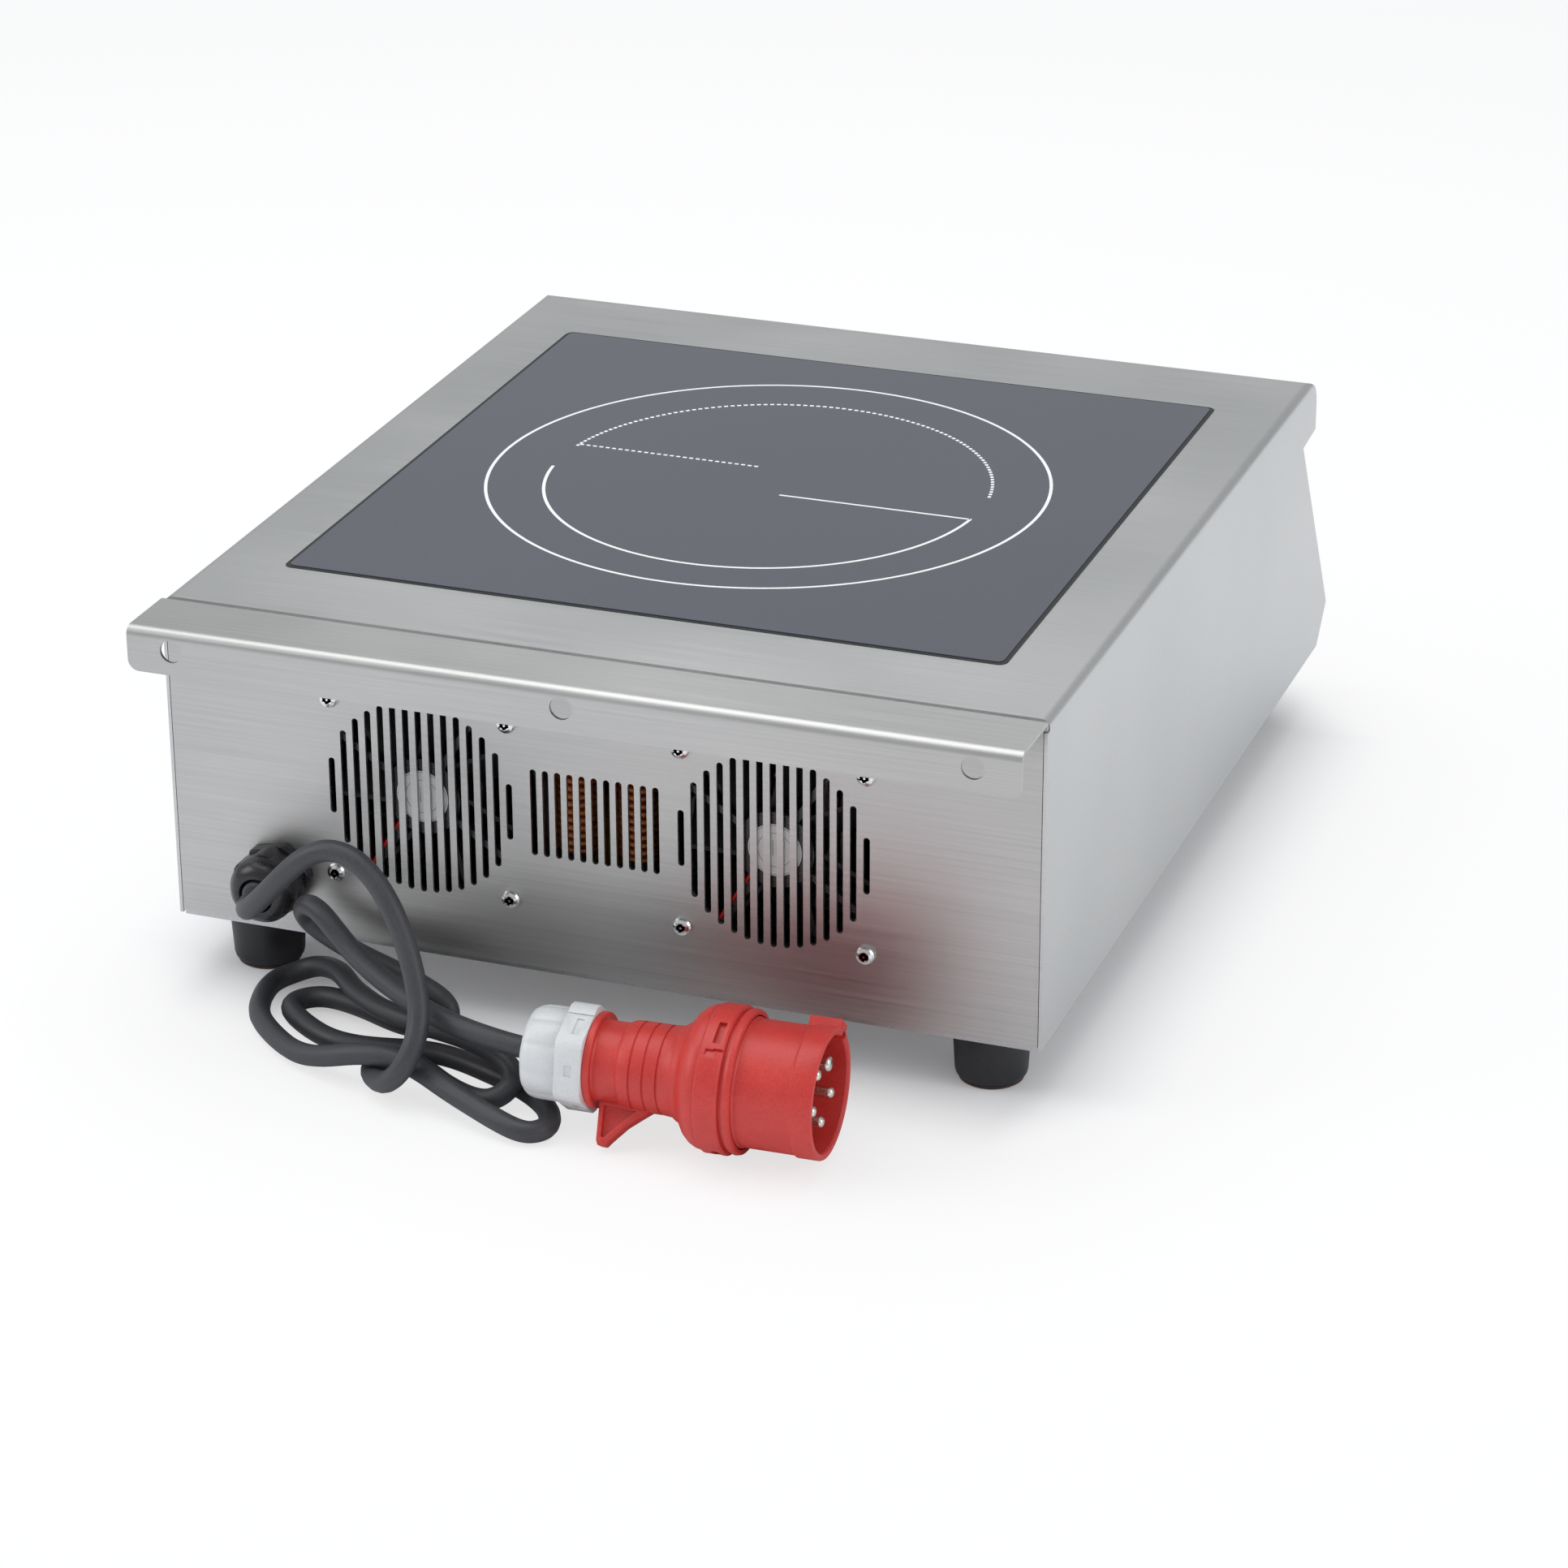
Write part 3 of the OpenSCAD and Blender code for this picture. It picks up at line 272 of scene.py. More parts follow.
softbox("overhead", (0.3, -0.2, 2.0), (0, 0, 0.1), 2.4, 1.8, 26)
softbox("rear_left", (2.2, 1.2, 1.5), (0, 0.1, 0.1), 1.4, 1.2, 17)
softbox("rear_right", (-2.1, 0.5, 1.1), (0, 0, 0.1), 1.2, 1.4, 12)
scene.view_settings.view_transform = "Standard"

# %% [markdown]
# Two effects are shared by many finishes. Brushed grain is long fine streaks left by an abrasive
# belt, made from noise squeezed across the brushing direction. Moulded skin is the faint unevenness
# of plastic and rubber. Each is one node group, built once.


# %% Shared shader groups
def new_group(name, wanted, given):
    group = bpy.data.node_groups.new(name, "ShaderNodeTree")
    for label, kind, value in wanted:
        socket = group.interface.new_socket(label, in_out="INPUT", socket_type=kind)
        socket.default_value = value
    for label, kind in given:
        group.interface.new_socket(label, in_out="OUTPUT", socket_type=kind)
    return group


def noise_group(name, detail):
    """Noise on Object coordinates, stretched by Stretch, as a Height and as a soft Cloud."""
    group = new_group(name, [
        ("Stretch", "NodeSocketVector", (1, 1, 1)),
        ("Cloud Scale", "NodeSocketFloat", 20.0),
        ("Dark", "NodeSocketColor", (0.5, 0.5, 0.5, 1)),
        ("Light", "NodeSocketColor", (0.6, 0.6, 0.6, 1)),
        ("Rough Low", "NodeSocketFloat", 0.3),
        ("Rough High", "NodeSocketFloat", 0.4)
    ], [("Color", "NodeSocketColor"), ("Roughness", "NodeSocketFloat"), ("Height", "NodeSocketFloat")])
    add, join = tree_tools(group)
    start, end = add("NodeGroupInput"), add("NodeGroupOutput")
    place = add("ShaderNodeTexCoord")
    stretch = add("ShaderNodeVectorMath", operation="MULTIPLY")
    fine = add("ShaderNodeTexNoise")
    fine.inputs["Scale"].default_value = 1.0
    fine.inputs["Detail"].default_value = detail
    fine.inputs["Roughness"].default_value = 0.65
    cloud = add("ShaderNodeTexNoise")
    cloud.inputs["Detail"].default_value = 2.0
    both = add("ShaderNodeMix", data_type="FLOAT")
    both.inputs[0].default_value = 0.45
    tint = add("ShaderNodeMix", data_type="RGBA")
    rough = add("ShaderNodeMapRange")
    join(place.outputs["Object"], stretch.inputs[0])
    join(start.outputs["Stretch"], stretch.inputs[1])
    join(stretch.outputs[0], fine.inputs["Vector"])
    join(place.outputs["Object"], cloud.inputs["Vector"])
    join(start.outputs["Cloud Scale"], cloud.inputs["Scale"])
    join(fine.outputs["Fac"], both.inputs[2])
    join(cloud.outputs["Fac"], both.inputs[3])
    spread = add("ShaderNodeMapRange")
    spread.inputs["From Min"].default_value, spread.inputs["From Max"].default_value = 0.35, 0.65
    join(both.outputs[0], spread.inputs["Value"])
    join(spread.outputs[0], tint.inputs[0])
    join(start.outputs["Dark"], tint.inputs[6])
    join(start.outputs["Light"], tint.inputs[7])
    join(spread.outputs[0], rough.inputs["Value"])
    join(start.outputs["Rough Low"], rough.inputs["To Min"])
    join(start.outputs["Rough High"], rough.inputs["To Max"])
    join(tint.outputs[2], end.inputs["Color"])
    join(rough.outputs[0], end.inputs["Roughness"])
    join(fine.outputs["Fac"], end.inputs["Height"])
    return group


BRUSHED = noise_group("brushed_grain", 3.0)
MOULDED = noise_group("moulded_skin", 2.0)


def finish(name, dark, light, rough, stretch=(900, 900, 900), cloud=20.0, bump=0.0001,
           group=MOULDED, metallic=0.0, **fixed):
    """A material: one shared group feeds colour, roughness and bump of a Principled shader."""
    made = new_material(name)
    add, join = tree_tools(made.node_tree)
    skin = add("ShaderNodeGroup", node_tree=group)
    skin.inputs["Stretch"].default_value = stretch
    skin.inputs["Cloud Scale"].default_value = cloud
    skin.inputs["Dark"].default_value = (*dark, 1)
    skin.inputs["Light"].default_value = (*light, 1)
    skin.inputs["Rough Low"].default_value, skin.inputs["Rough High"].default_value = rough
    shader = add("ShaderNodeBsdfPrincipled")
    shader.inputs["Metallic"].default_value = metallic
    for key, value in fixed.items():
        shader.inputs[key.replace("_", " ")].default_value = value
    relief = add("ShaderNodeBump")
    relief.inputs["Distance"].default_value = bump
    relief.inputs["Strength"].default_value = 0.5
    join(skin.outputs["Color"], shader.inputs["Base Color"])
    join(skin.outputs["Roughness"], shader.inputs["Roughness"])
    join(skin.outputs["Height"], relief.inputs["Height"])
    join(relief.outputs["Normal"], shader.inputs["Normal"])
    join(shader.outputs[0], add("ShaderNodeOutputMaterial").inputs["Surface"])
    return made


# %% [markdown]
# One finish for each slot of the record. Steel is brushed along X, so its noise is long in X and
# very short in Y and Z. On the side sheets, which face X, it comes out as a fine even grain.

# %% Finishes
ALONG_X = (10, 900, 900)
steel = dict(group=BRUSHED, metallic=1.0, bump=0.000006, cloud=7.0)
FINISH = {
    "stainless_cover": finish("brushed_cover", (0.54, 0.55, 0.55), (0.64, 0.645, 0.64), (0.36, 0.44),
                              ALONG_X, **steel),
    # The rear panel's steel is about 15% darker than the cover's: painted shade for the shadow under the
    # rear lip.
    "stainless_rear": finish("brushed_rear_painted_shade", (0.47, 0.468, 0.46), (0.58, 0.577, 0.57), (0.40, 0.47),
                             ALONG_X, **steel),
    "zinc_steel": finish("zinc_plate", (0.45, 0.46, 0.47), (0.60, 0.61, 0.62), (0.3, 0.45), metallic=1.0),
    "cooktop_glass": finish("cooktop_glass", (0.060, 0.066, 0.086), (0.068, 0.074, 0.096), (0.10, 0.14),
                            cloud=4.0, bump=0.000004, Coat_Weight=0.3),
    "black_sealant": finish("black_sealant", (0.012, 0.012, 0.014), (0.02, 0.02, 0.022), (0.5, 0.65)),
    "mica": finish("mica_sheet", (0.40, 0.30, 0.16), (0.55, 0.44, 0.27), (0.4, 0.6)),
    "copper_wire": finish("enamelled_copper", (0.30, 0.09, 0.025), (0.55, 0.20, 0.06),
                          (0.25, 0.4), metallic=0.8),
    "pale_plastic": finish("pale_plastic", (0.66, 0.63, 0.56), (0.74, 0.71, 0.65), (0.45, 0.6)),
    "ferrite": finish("ferrite", (0.03, 0.03, 0.033), (0.06, 0.06, 0.063), (0.5, 0.7)),
    "circuit_board": finish("circuit_board", (0.01, 0.09, 0.04), (0.02, 0.14, 0.06),
                            (0.3, 0.45), cloud=90.0),
    "bare_aluminium": finish("bare_aluminium", (0.60, 0.61, 0.62), (0.74, 0.75, 0.76),
                             (0.3, 0.45), metallic=1.0),
    "black_plastic": finish("black_plastic", (0.012, 0.012, 0.014), (0.022, 0.022, 0.025), (0.22, 0.34)),
    "capacitor_film": finish("capacitor_film", (0.60, 0.36, 0.03), (0.72, 0.45, 0.05), (0.3, 0.45)),
    "wire_insulation": finish("wire_insulation", (0.07, 0.05, 0.04), (0.12, 0.08, 0.06), (0.4, 0.55)),
    "fan_blade_plastic": finish("fan_blade_plastic", (0.015, 0.015, 0.017), (0.028, 0.028, 0.03),
                                (0.35, 0.5)),
    "label_white": finish("label_paper", (0.70, 0.70, 0.69), (0.80, 0.80, 0.79), (0.4, 0.5)),
    "red_wire": finish("red_wire", (0.50, 0.015, 0.012), (0.65, 0.03, 0.02), (0.3, 0.4)),
    "plated_screws": finish("plated_screws", (0.70, 0.70, 0.69), (0.86, 0.86, 0.85),
                            (0.12, 0.22), metallic=1.0),
    "overlay_film": finish("overlay_film", (0.022, 0.022, 0.025), (0.032, 0.032, 0.035), (0.30, 0.40)),
    "red_window": finish("red_window", (0.060, 0.004, 0.004), (0.085, 0.006, 0.006),
                         (0.06, 0.10), Coat_Weight=0.5),
    "steel_shaft": finish("steel_shaft", (0.55, 0.55, 0.56), (0.7, 0.7, 0.71), (0.2, 0.3), metallic=1.0),
    "knob_plastic": finish("knob_plastic", (0.012, 0.012, 0.013), (0.022, 0.022, 0.024), (0.28, 0.42)),
    "red_button": finish("red_button", (0.45, 0.02, 0.015), (0.55, 0.03, 0.02), (0.25, 0.35)),
    "grey_button": finish("grey_button", (0.60, 0.60, 0.59), (0.68, 0.68, 0.67), (0.3, 0.4)),
    "foot_rubber": finish("foot_rubber", (0.010, 0.010, 0.013), (0.022, 0.022, 0.026),
                          (0.38, 0.55), cloud=60.0),
    "cord_rubber": finish("cord_rubber", (0.040, 0.041, 0.047), (0.062, 0.063, 0.070),
                          (0.42, 0.56), cloud=45.0, bump=0.00006),
    "plug_grey": finish("plug_grey", (0.68, 0.70, 0.71), (0.75, 0.77, 0.78), (0.28, 0.40), bump=0.00004),
    "plug_red": finish("plug_red", (0.56, 0.035, 0.030), (0.68, 0.055, 0.045),
                       (0.36, 0.48), cloud=70.0, bump=0.00004),
    "plated_pins": finish("plated_pins", (0.72, 0.70, 0.64), (0.85, 0.83, 0.77), (0.15, 0.28), metallic=1.0),
}
for part in frame["record"]["subparts"]:
    mesh = frame["nodes"][part["node"]].data
    mesh.materials.clear()
    mesh.materials.append(FINISH[part["material_slot"]])
cord.data.materials.clear()
cord.data.materials.append(FINISH["cord_rubber"])
print("finishes", len(FINISH))

# %% [markdown]
# Many small shapes are turned on a lathe in real life, so one helper spins an outline about the
# Z axis. Others make blocks and prisms, carve them, bevel them, put them in place and hand them on.

# %% Mesh helpers
def spun(outline, sides=96, radius_of=None):
    """A closed solid of revolution. outline is (radius, height) pairs in millimetres that start and
    end on the axis or form a ring; radius_of(r, z, turn) may wave the outline round the turn."""
    made = bmesh.new()
    rings = []
    for r, z in outline:
        if r < 1e-6:
            rings.append([made.verts.new((0, 0, z*MM))])
            continue
        ring = []
        for k in range(sides):
            turn = 2*math.pi*k/sides
            wide = radius_of(r, z, turn) if radius_of else r
            ring.append(made.verts.new((wide*MM*math.cos(turn), wide*MM*math.sin(turn), z*MM)))
        rings.append(ring)
    closed = outline[0][0] > 1e-6
    pairs = list(zip(rings, rings[1:])) + ([(rings[-1], rings[0])] if closed else [])
    for low_ring, high_ring in pairs:
        for k in range(sides):
            a, b = k, (k + 1) % sides
            corners = [low_ring[a % len(low_ring)], low_ring[b % len(low_ring)],
                       high_ring[b % len(high_ring)], high_ring[a % len(high_ring)]]
            corners = list(dict.fromkeys(corners))
            if len(corners) > 2:
                made.faces.new(corners)
    bmesh.ops.recalc_face_normals(made, faces=made.faces)
    return made


def block(size, at, turn=Matrix.Identity(4)):
    """A box of this size, centred at a place in millimetres, then turned."""
    made = bmesh.new()
    bmesh.ops.create_cube(made, size=1.0)
    grow = Matrix.Diagonal((size[0]*MM, size[1]*MM, size[2]*MM, 1))
    bmesh.ops.transform(made, matrix=turn @ Matrix.Translation(Vector(at)*MM) @ grow, verts=made.verts)
    return made


def prism(outline, low, high):
    """A straight extrusion along Z of a closed outline, in millimetres."""
    made = bmesh.new()
    floor_ring = [made.verts.new((x*MM, y*MM, low*MM)) for x, y in outline]
    top_ring = [made.verts.new((x*MM, y*MM, high*MM)) for x, y in outline]
    made.faces.new(floor_ring)
    made.faces.new(top_ring)
    for k in range(len(outline)):
        n = (k + 1) % len(outline)
        made.faces.new((floor_ring[k], floor_ring[n], top_ring[n], top_ring[k]))
    bmesh.ops.recalc_face_normals(made, faces=made.faces)
    return made


def hexagon(radius, lean, turn):
    """A hexagon with blunt corners: two points, lean degrees to either side of each corner."""
    points = []
    for k in range(6):
        for step in (-lean, lean):
            at = math.radians(turn + 60*k + step)
            points.append((radius*math.cos(at), radius*math.sin(at)))
    return points


def joined(solids):
    """One mesh out of many separate solids."""
    made = bmesh.new()
    for solid in solids:
        keep = bpy.data.meshes.new("solid")
        solid.to_mesh(keep)
        solid.free()
        made.from_mesh(keep)
        bpy.data.meshes.remove(keep)
    return made


def as_object(name, source, material=None):
    mesh = bpy.data.meshes.new(name)
    source.to_mesh(mesh)
    source.free()
    if material:
        mesh.materials.append(material)
    return placed(name, mesh)


def carve(target, tools, operation="DIFFERENCE"):
    """Boolean each tool mesh into the target and apply it."""
    for index, tool in enumerate(tools):
        cutter = as_object("cutter", tool)
        step = target.modifiers.new(f"cut_{index}", "BOOLEAN")
        step.operation, step.solver, step.object = operation, "EXACT", cutter
        apply_all(target)
        bpy.data.objects.remove(cutter)


def apply_all(target):
    """Replace the mesh by its evaluated self and drop the modifiers."""
    fresh = plain_mesh(target)
    target.modifiers.clear()
    target.data = fresh


def soften(target, width, segments=2, angle=35):
    """Round the sharp edges by a bevel of this width in millimetres."""
    step = target.modifiers.new("soften", "BEVEL")
    step.width, step.segments = width*MM, segments
    step.limit_method, step.angle_limit = "ANGLE", math.radians(angle)
    apply_all(target)


def settle(target, place, smooth_angle=35):
    """Put the place into the mesh, clean it and smooth its gentle edges."""
    target.data.transform(place)
    clean = bmesh.new()
    clean.from_mesh(target.data)
    bmesh.ops.remove_doubles(clean, verts=clean.verts, dist=1e-6)
    bmesh.ops.recalc_face_normals(clean, faces=clean.faces)
    limit = math.radians(smooth_angle)
    for face in clean.faces:
        face.smooth = True
    for edge in clean.edges:
        edge.smooth = len(edge.link_faces) == 2 and edge.calc_face_angle(0) < limit
    clean.to_mesh(target.data)
    clean.free()


def hand_over(target, body, slot, *stands_for):
    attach(target, body)
    if stands_for:
        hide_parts(*stands_for)
    if not target.data.materials:
        target.data.materials.append(FINISH[slot])
    print(target.name, "faces", len(target.data.polygons))
    return target


# %% [markdown]
# The plug is an industrial five-pin one. Its own axis runs from the mouth towards the lead, so all
# its pieces are built along Z from the mouth and then laid down by one matrix.

# %% Plug frame
PLUG_PLACE = (Matrix.Translation((-0.131, 0.2915, 0.0315)) @ Matrix.Rotation(math.radians(1.9), 4, "Z")
              @ Matrix.Rotation(math.radians(90), 4, "Y"))
SHROUD_R, LIP_R, HOLLOW_R, COLLAR_R = 27.0, 27.8, 24.6, 31.5
PLUG_SIDES, PIN_TURN, PIN_CIRCLE = 128, 224, 12.8*MM


# %% Gland nut of the plug: a grey dome with broad flutes
NUT_FLUTES, FLUTE_DEPTH, NUT_BORE_R, NUT_SKIRT_END = 10, 1.0, 12, 128


def fluted(r, z, turn):
    """Flutes run down the skirt and fade on the crown, and the bore stays round."""
    if r < NUT_BORE_R:
        return r
    wave = 0.5 + 0.5*math.cos(NUT_FLUTES*turn)
    return r - FLUTE_DEPTH*(1 - wave**0.35)*(1 if z < NUT_SKIRT_END else 0.4)


nut_line = [(5.6, 114), (17, 114), (19.4, 114.2), (20, 115), (20, 124), (19.8, 126.5), (19.2, 128.6),
            (18, 130.2), (16, 131), (6.4, 131), (5.2, 130)]
nut = as_object("plug_dome_nut", spun(nut_line, 120, fluted))
settle(nut, PLUG_PLACE, 50)
hand_over(nut, HOUSING, "plug_grey", "plug_nut")

# %% Hexagonal clamp ring with latch windows
CLAMP_R, CLAMP_TURN = 23.2, 10
ring = as_object("plug_clamp_ring", prism(hexagon(CLAMP_R, 5, CLAMP_TURN), 102.2, 114.0))
carve(ring, [spun([(0, 95), (14, 95), (14, 120), (0, 120)], 64)])
flat_r = CLAMP_R*math.cos(math.radians(25))
windows = []
for k in range(6):
    face = Matrix.Rotation(math.radians(CLAMP_TURN + 30 + 60*k), 4, "Z")
    if k % 2:
        windows.append(block((1.6, 5.0, 3.4), (flat_r, 0, 108), face))
    else:
        windows.append(block((1.8, 9.0, 3.2), (flat_r, -2, 107), face))
        windows.append(block((2.4, 0.5, 12), (flat_r, 5, 108), face))
carve(ring, windows)
soften(ring, 0.35)
settle(ring, PLUG_PLACE)
hand_over(ring, HOUSING, "plug_grey", "plug_ring")

# %% Red body: flared bell, neck with ring lines, flange and hook
NECK_R, GROOVE_R, GROOVES = 18.9, 18.35, (70, 76, 82)
neck = [(14, 50), (30.4, 50), (30.6, 51), (30.2, 53), (29.0, 55.4), (27.0, 57.6), (24.6, 59.2),
        (22.4, 60.2), (21.4, 61.4), (20.9, 63.0), (20.0, 64.2), (19.3, 65.4)]
for s in GROOVES:
    neck += [(NECK_R, s - 0.5), (GROOVE_R, s - 0.15), (GROOVE_R, s + 0.15), (NECK_R, s + 0.5)]
neck += [(18.7, 86.5), (18.0, 88), (17.4, 88.6), (17.2, 90), (17.2, 98.2), (17.8, 99), (20.0, 99),
         (20.4, 99.6), (20.4, 101.6), (20.0, 102.2), (14, 102.2)]
body = as_object("plug_red_body", spun(neck, PLUG_SIDES))
settle(body, PLUG_PLACE, 28)
hand_over(body, HOUSING, "plug_red", "plug_body")

HOOK_TURN = Matrix.Rotation(math.radians(-55), 4, "Z") @ Matrix.Rotation(math.radians(-90), 4, "Y")
HOOK_HALF, WEB_HALF = 3.4, 1.0
hook_line = [(97, 16.4), (95.4, 33.5), (94.4, 35.6), (91.6, 35.6), (89.6, 33), (84, 26.5), (78, 21.5),
             (72, 16.8)]
hook = as_object("plug_hook", prism(hook_line, -HOOK_HALF, HOOK_HALF))
recess = [(94.6, 18.6), (93.6, 31.5), (92.6, 32.2), (90.8, 30.4), (85.6, 24.4), (80.4, 19.4)]
carve(hook, [prism(recess, WEB_HALF, 6.0), prism(recess, -6.0, -WEB_HALF)])
soften(hook, 0.3)
settle(hook, PLUG_PLACE @ HOOK_TURN)
hand_over(hook, HOUSING, "plug_red")

# %% Locking collar with its slots
collar_line = [(28.2, 34.5), (29.6, 34.5), (30.4, 35.0), (30.7, 36.4), (30.3, 37.8), (29.2, 38.2),
               (29.2, 39.2), (30.9, 39.6), (COLLAR_R, 40.4), (COLLAR_R, 49.2), (30.9, 50.0), (28.2, 50.0)]
collar = as_object("plug_locking_collar", spun(collar_line, PLUG_SIDES))
slot_r = COLLAR_R - 0.3
slots = []
for start_turn in (35, 155, 275):
    place = Matrix.Rotation(math.radians(start_turn), 4, "Z")
    slots.append(block((3.8, 11, 3.4), (slot_r, 0, 43.4), place))
    slots.append(block((3.8, 4.5, 4.2), (slot_r, -10.5, 45.2), place))
    slots.append(block((3.8, 1.6, 4.2), (slot_r, -8.6, 41.8), place))
carve(collar, slots)
settle(collar, PLUG_PLACE, 28)
hand_over(collar, HOUSING, "plug_red", "plug_collar")

# %% Shroud with its step line, keyway block and deep mouth
shroud_line = [(0, 30), (HOLLOW_R, 30), (HOLLOW_R, 1.2), (HOLLOW_R + 0.5, 0.3), (LIP_R - 1.0, 0),
               (LIP_R - 0.3, 0.3), (LIP_R, 1.0), (LIP_R, 9.6), (LIP_R - 0.3, 10), (LIP_R - 0.5, 10.3),
               (SHROUD_R, 10.8), (SHROUD_R, 33.6), (SHROUD_R + 0.6, 34.5), (SHROUD_R + 0.9, 50), (0, 50)]
shroud = as_object("plug_red_shroud", spun(shroud_line, PLUG_SIDES))
KEY_TURN = Matrix.Rotation(math.radians(PIN_TURN), 4, "Z")
key_block = block((6.0, 9.0, 14), (LIP_R + 0.4, 0, 7.8), KEY_TURN)
keyway = block((4.4, 4.6, 24), (HOLLOW_R + 0.4, 0, 9), KEY_TURN)
key_dish = block((1.6, 6.0, 9), (LIP_R + 3.4, 0, 7.8), KEY_TURN)
carve(shroud, [key_block], "UNION")
carve(shroud, [keyway, key_dish])
settle(shroud, PLUG_PLACE, 28)
hand_over(shroud, HOUSING, "plug_red", "plug_shroud")

# %% Five plated pins with rounded tips
EARTH_PIN_R, PIN_R, PIN_TIP, PIN_FOOT = 3.5, 2.5, 2.5, 30.5
for k in range(5):
    r = PIN_R if k else EARTH_PIN_R
    turn = math.radians(PIN_TURN + 72*k)
    pin_line = [(0, PIN_TIP), (r - 1.4, PIN_TIP + 0.05), (r - 0.7, PIN_TIP + 0.4), (r - 0.2, PIN_TIP + 1.0),
                (r, PIN_TIP + 2.0), (r, PIN_FOOT), (0, PIN_FOOT)]
    pin = as_object(f"plug_pin_{k}", spun(pin_line, 40))
    across = Matrix.Translation((PIN_CIRCLE*math.cos(turn), PIN_CIRCLE*math.sin(turn), 0))
    settle(pin, PLUG_PLACE @ across, 40)
    hand_over(pin, HOUSING, "plated_pins", *([] if k else ["plug_pins"]))

# %% [markdown]
# The cable gland is a glossy black nut on a hexagonal foot. A short tapered rubber sleeve grips the
# lead where it leaves, so that it never bends at a sharp edge.

# %% Cable gland
GLAND_PLACE = Matrix.Translation((0.150, 0.22275, 0.056)) @ Matrix.Rotation(math.radians(-90), 4, "X")
foot_hex = as_object("gland_hex_foot", prism(hexagon(16.3, 4, 12), 0.05, 5.0))
soften(foot_hex, 0.5, 3)
settle(foot_hex, GLAND_PLACE)
hand_over(foot_hex, HOUSING, "black_plastic", "gland_body")
crown = as_object("gland_crown_nut", prism(hexagon(16.0, 5, 32), 5.6, 15.0))
crown_line = [(0, 14.0), (15.0, 14.0), (15.0, 17.0), (14.6, 19.4), (13.4, 21.6), (11.6, 23.4), (9.4, 24.4),
              (0, 24.4)]
carve(crown, [spun(crown_line, 96)], "UNION")
carve(crown, [spun([(0, 0), (7.2, 0), (7.2, 21), (8.4, 26), (0, 26)], 64)])
soften(crown, 0.5, 3)
settle(crown, GLAND_PLACE, 40)
hand_over(crown, HOUSING, "black_plastic", "gland_nut")
sleeve_line = [(4.7, 4), (7.1, 4), (7.1, 21), (6.4, 24.6), (5.2, 25.4), (4.7, 25.4)]
sleeve = as_object("gland_rubber_sleeve", spun(sleeve_line, 64))
settle(sleeve, GLAND_PLACE, 40)
hand_over(sleeve, HOUSING, "cord_rubber")

# %% [markdown]
# Screws repeat, so Geometry Nodes make them: a stack of cones forms the pan head, two bars cut the
# cross recess, and the finished head is set on every point. The head's sizes are the tree's inputs.


# %% Geometry Nodes helpers
def node_tree(name, numbers, material):
    """A Geometry Nodes tree with points in, float inputs by name, and a coated mesh out."""
    tree = bpy.data.node_groups.new(name, "GeometryNodeTree")
    tree.interface.new_socket("Places", in_out="INPUT", socket_type="NodeSocketGeometry")
    for label, value in numbers.items():
        socket = tree.interface.new_socket(label, in_out="INPUT", socket_type="NodeSocketFloat")
        socket.default_value = value
    tree.interface.new_socket("Result", in_out="OUTPUT", socket_type="NodeSocketGeometry")
    add, join = tree_tools(tree)
    start, end = add("NodeGroupInput"), add("NodeGroupOutput")
    real, coat = add("GeometryNodeRealizeInstances"), add("GeometryNodeSetMaterial")
    coat.inputs["Material"].default_value = material
    join(real.outputs[0], coat.inputs[0])
    join(coat.outputs[0], end.inputs[0])
    return tree, add, join, start, real


def run_tree(name, tree, points, values):
    """Give the tree its points and numbers, then keep the plain mesh that it makes."""
    mesh = bpy.data.meshes.new(name)
    mesh.from_pydata([tuple(p) for p in points], [], [])
    holder = placed(name, mesh)
    maker = holder.modifiers.new("maker", "NODES")
    maker.node_group = tree
    sockets = {i.name: i.identifier for i in tree.interface.items_tree if i.in_out == "INPUT"}
    for label, value in values.items():
        maker[sockets[label]] = value
    apply_all(holder)
    return holder


# %% Pan-head screws
FAN_HEAD = {"Head Radius": 0.0042, "Head Height": 0.0026}
PANEL_HEAD = {"Head Radius": 0.0040, "Head Height": 0.0024}
HEAD_STEPS = ((0, 0.42, 1.0, 1.0), (0.42, 0.75, 1.0, 0.86), (0.75, 1.0, 0.86, 0.55))
CROSS_TURN, CROSS_SIZE = 0.35, (0.0046, 0.0009, 0.0024)
screw_tree, add, join, start, real = node_tree("pan_head_screw", FAN_HEAD, FINISH["plated_screws"])
parts = add("GeometryNodeJoinGeometry")
for low_share, high_share, wide_low, wide_high in HEAD_STEPS:
    cone = add("GeometryNodeMeshCone")
    cone.inputs["Vertices"].default_value = 32
    for socket, share in (("Radius Bottom", wide_low), ("Radius Top", wide_high)):
        size = add("ShaderNodeMath", operation="MULTIPLY", in_1=share)
        join(start.outputs["Head Radius"], size.inputs[0])
        join(size.outputs[0], cone.inputs[socket])
    deep = add("ShaderNodeMath", operation="MULTIPLY", in_1=high_share - low_share)
    lift = add("ShaderNodeMath", operation="MULTIPLY", in_1=low_share)
    join(start.outputs["Head Height"], deep.inputs[0])
    join(start.outputs["Head Height"], lift.inputs[0])
    join(deep.outputs[0], cone.inputs["Depth"])
    offset, move = add("ShaderNodeCombineXYZ"), add("GeometryNodeTransform")
    join(lift.outputs[0], offset.inputs["Z"])
    join(cone.outputs["Mesh"], move.inputs["Geometry"])
    join(offset.outputs[0], move.inputs["Translation"])
    join(move.outputs[0], parts.inputs[0])
cross = add("GeometryNodeJoinGeometry")
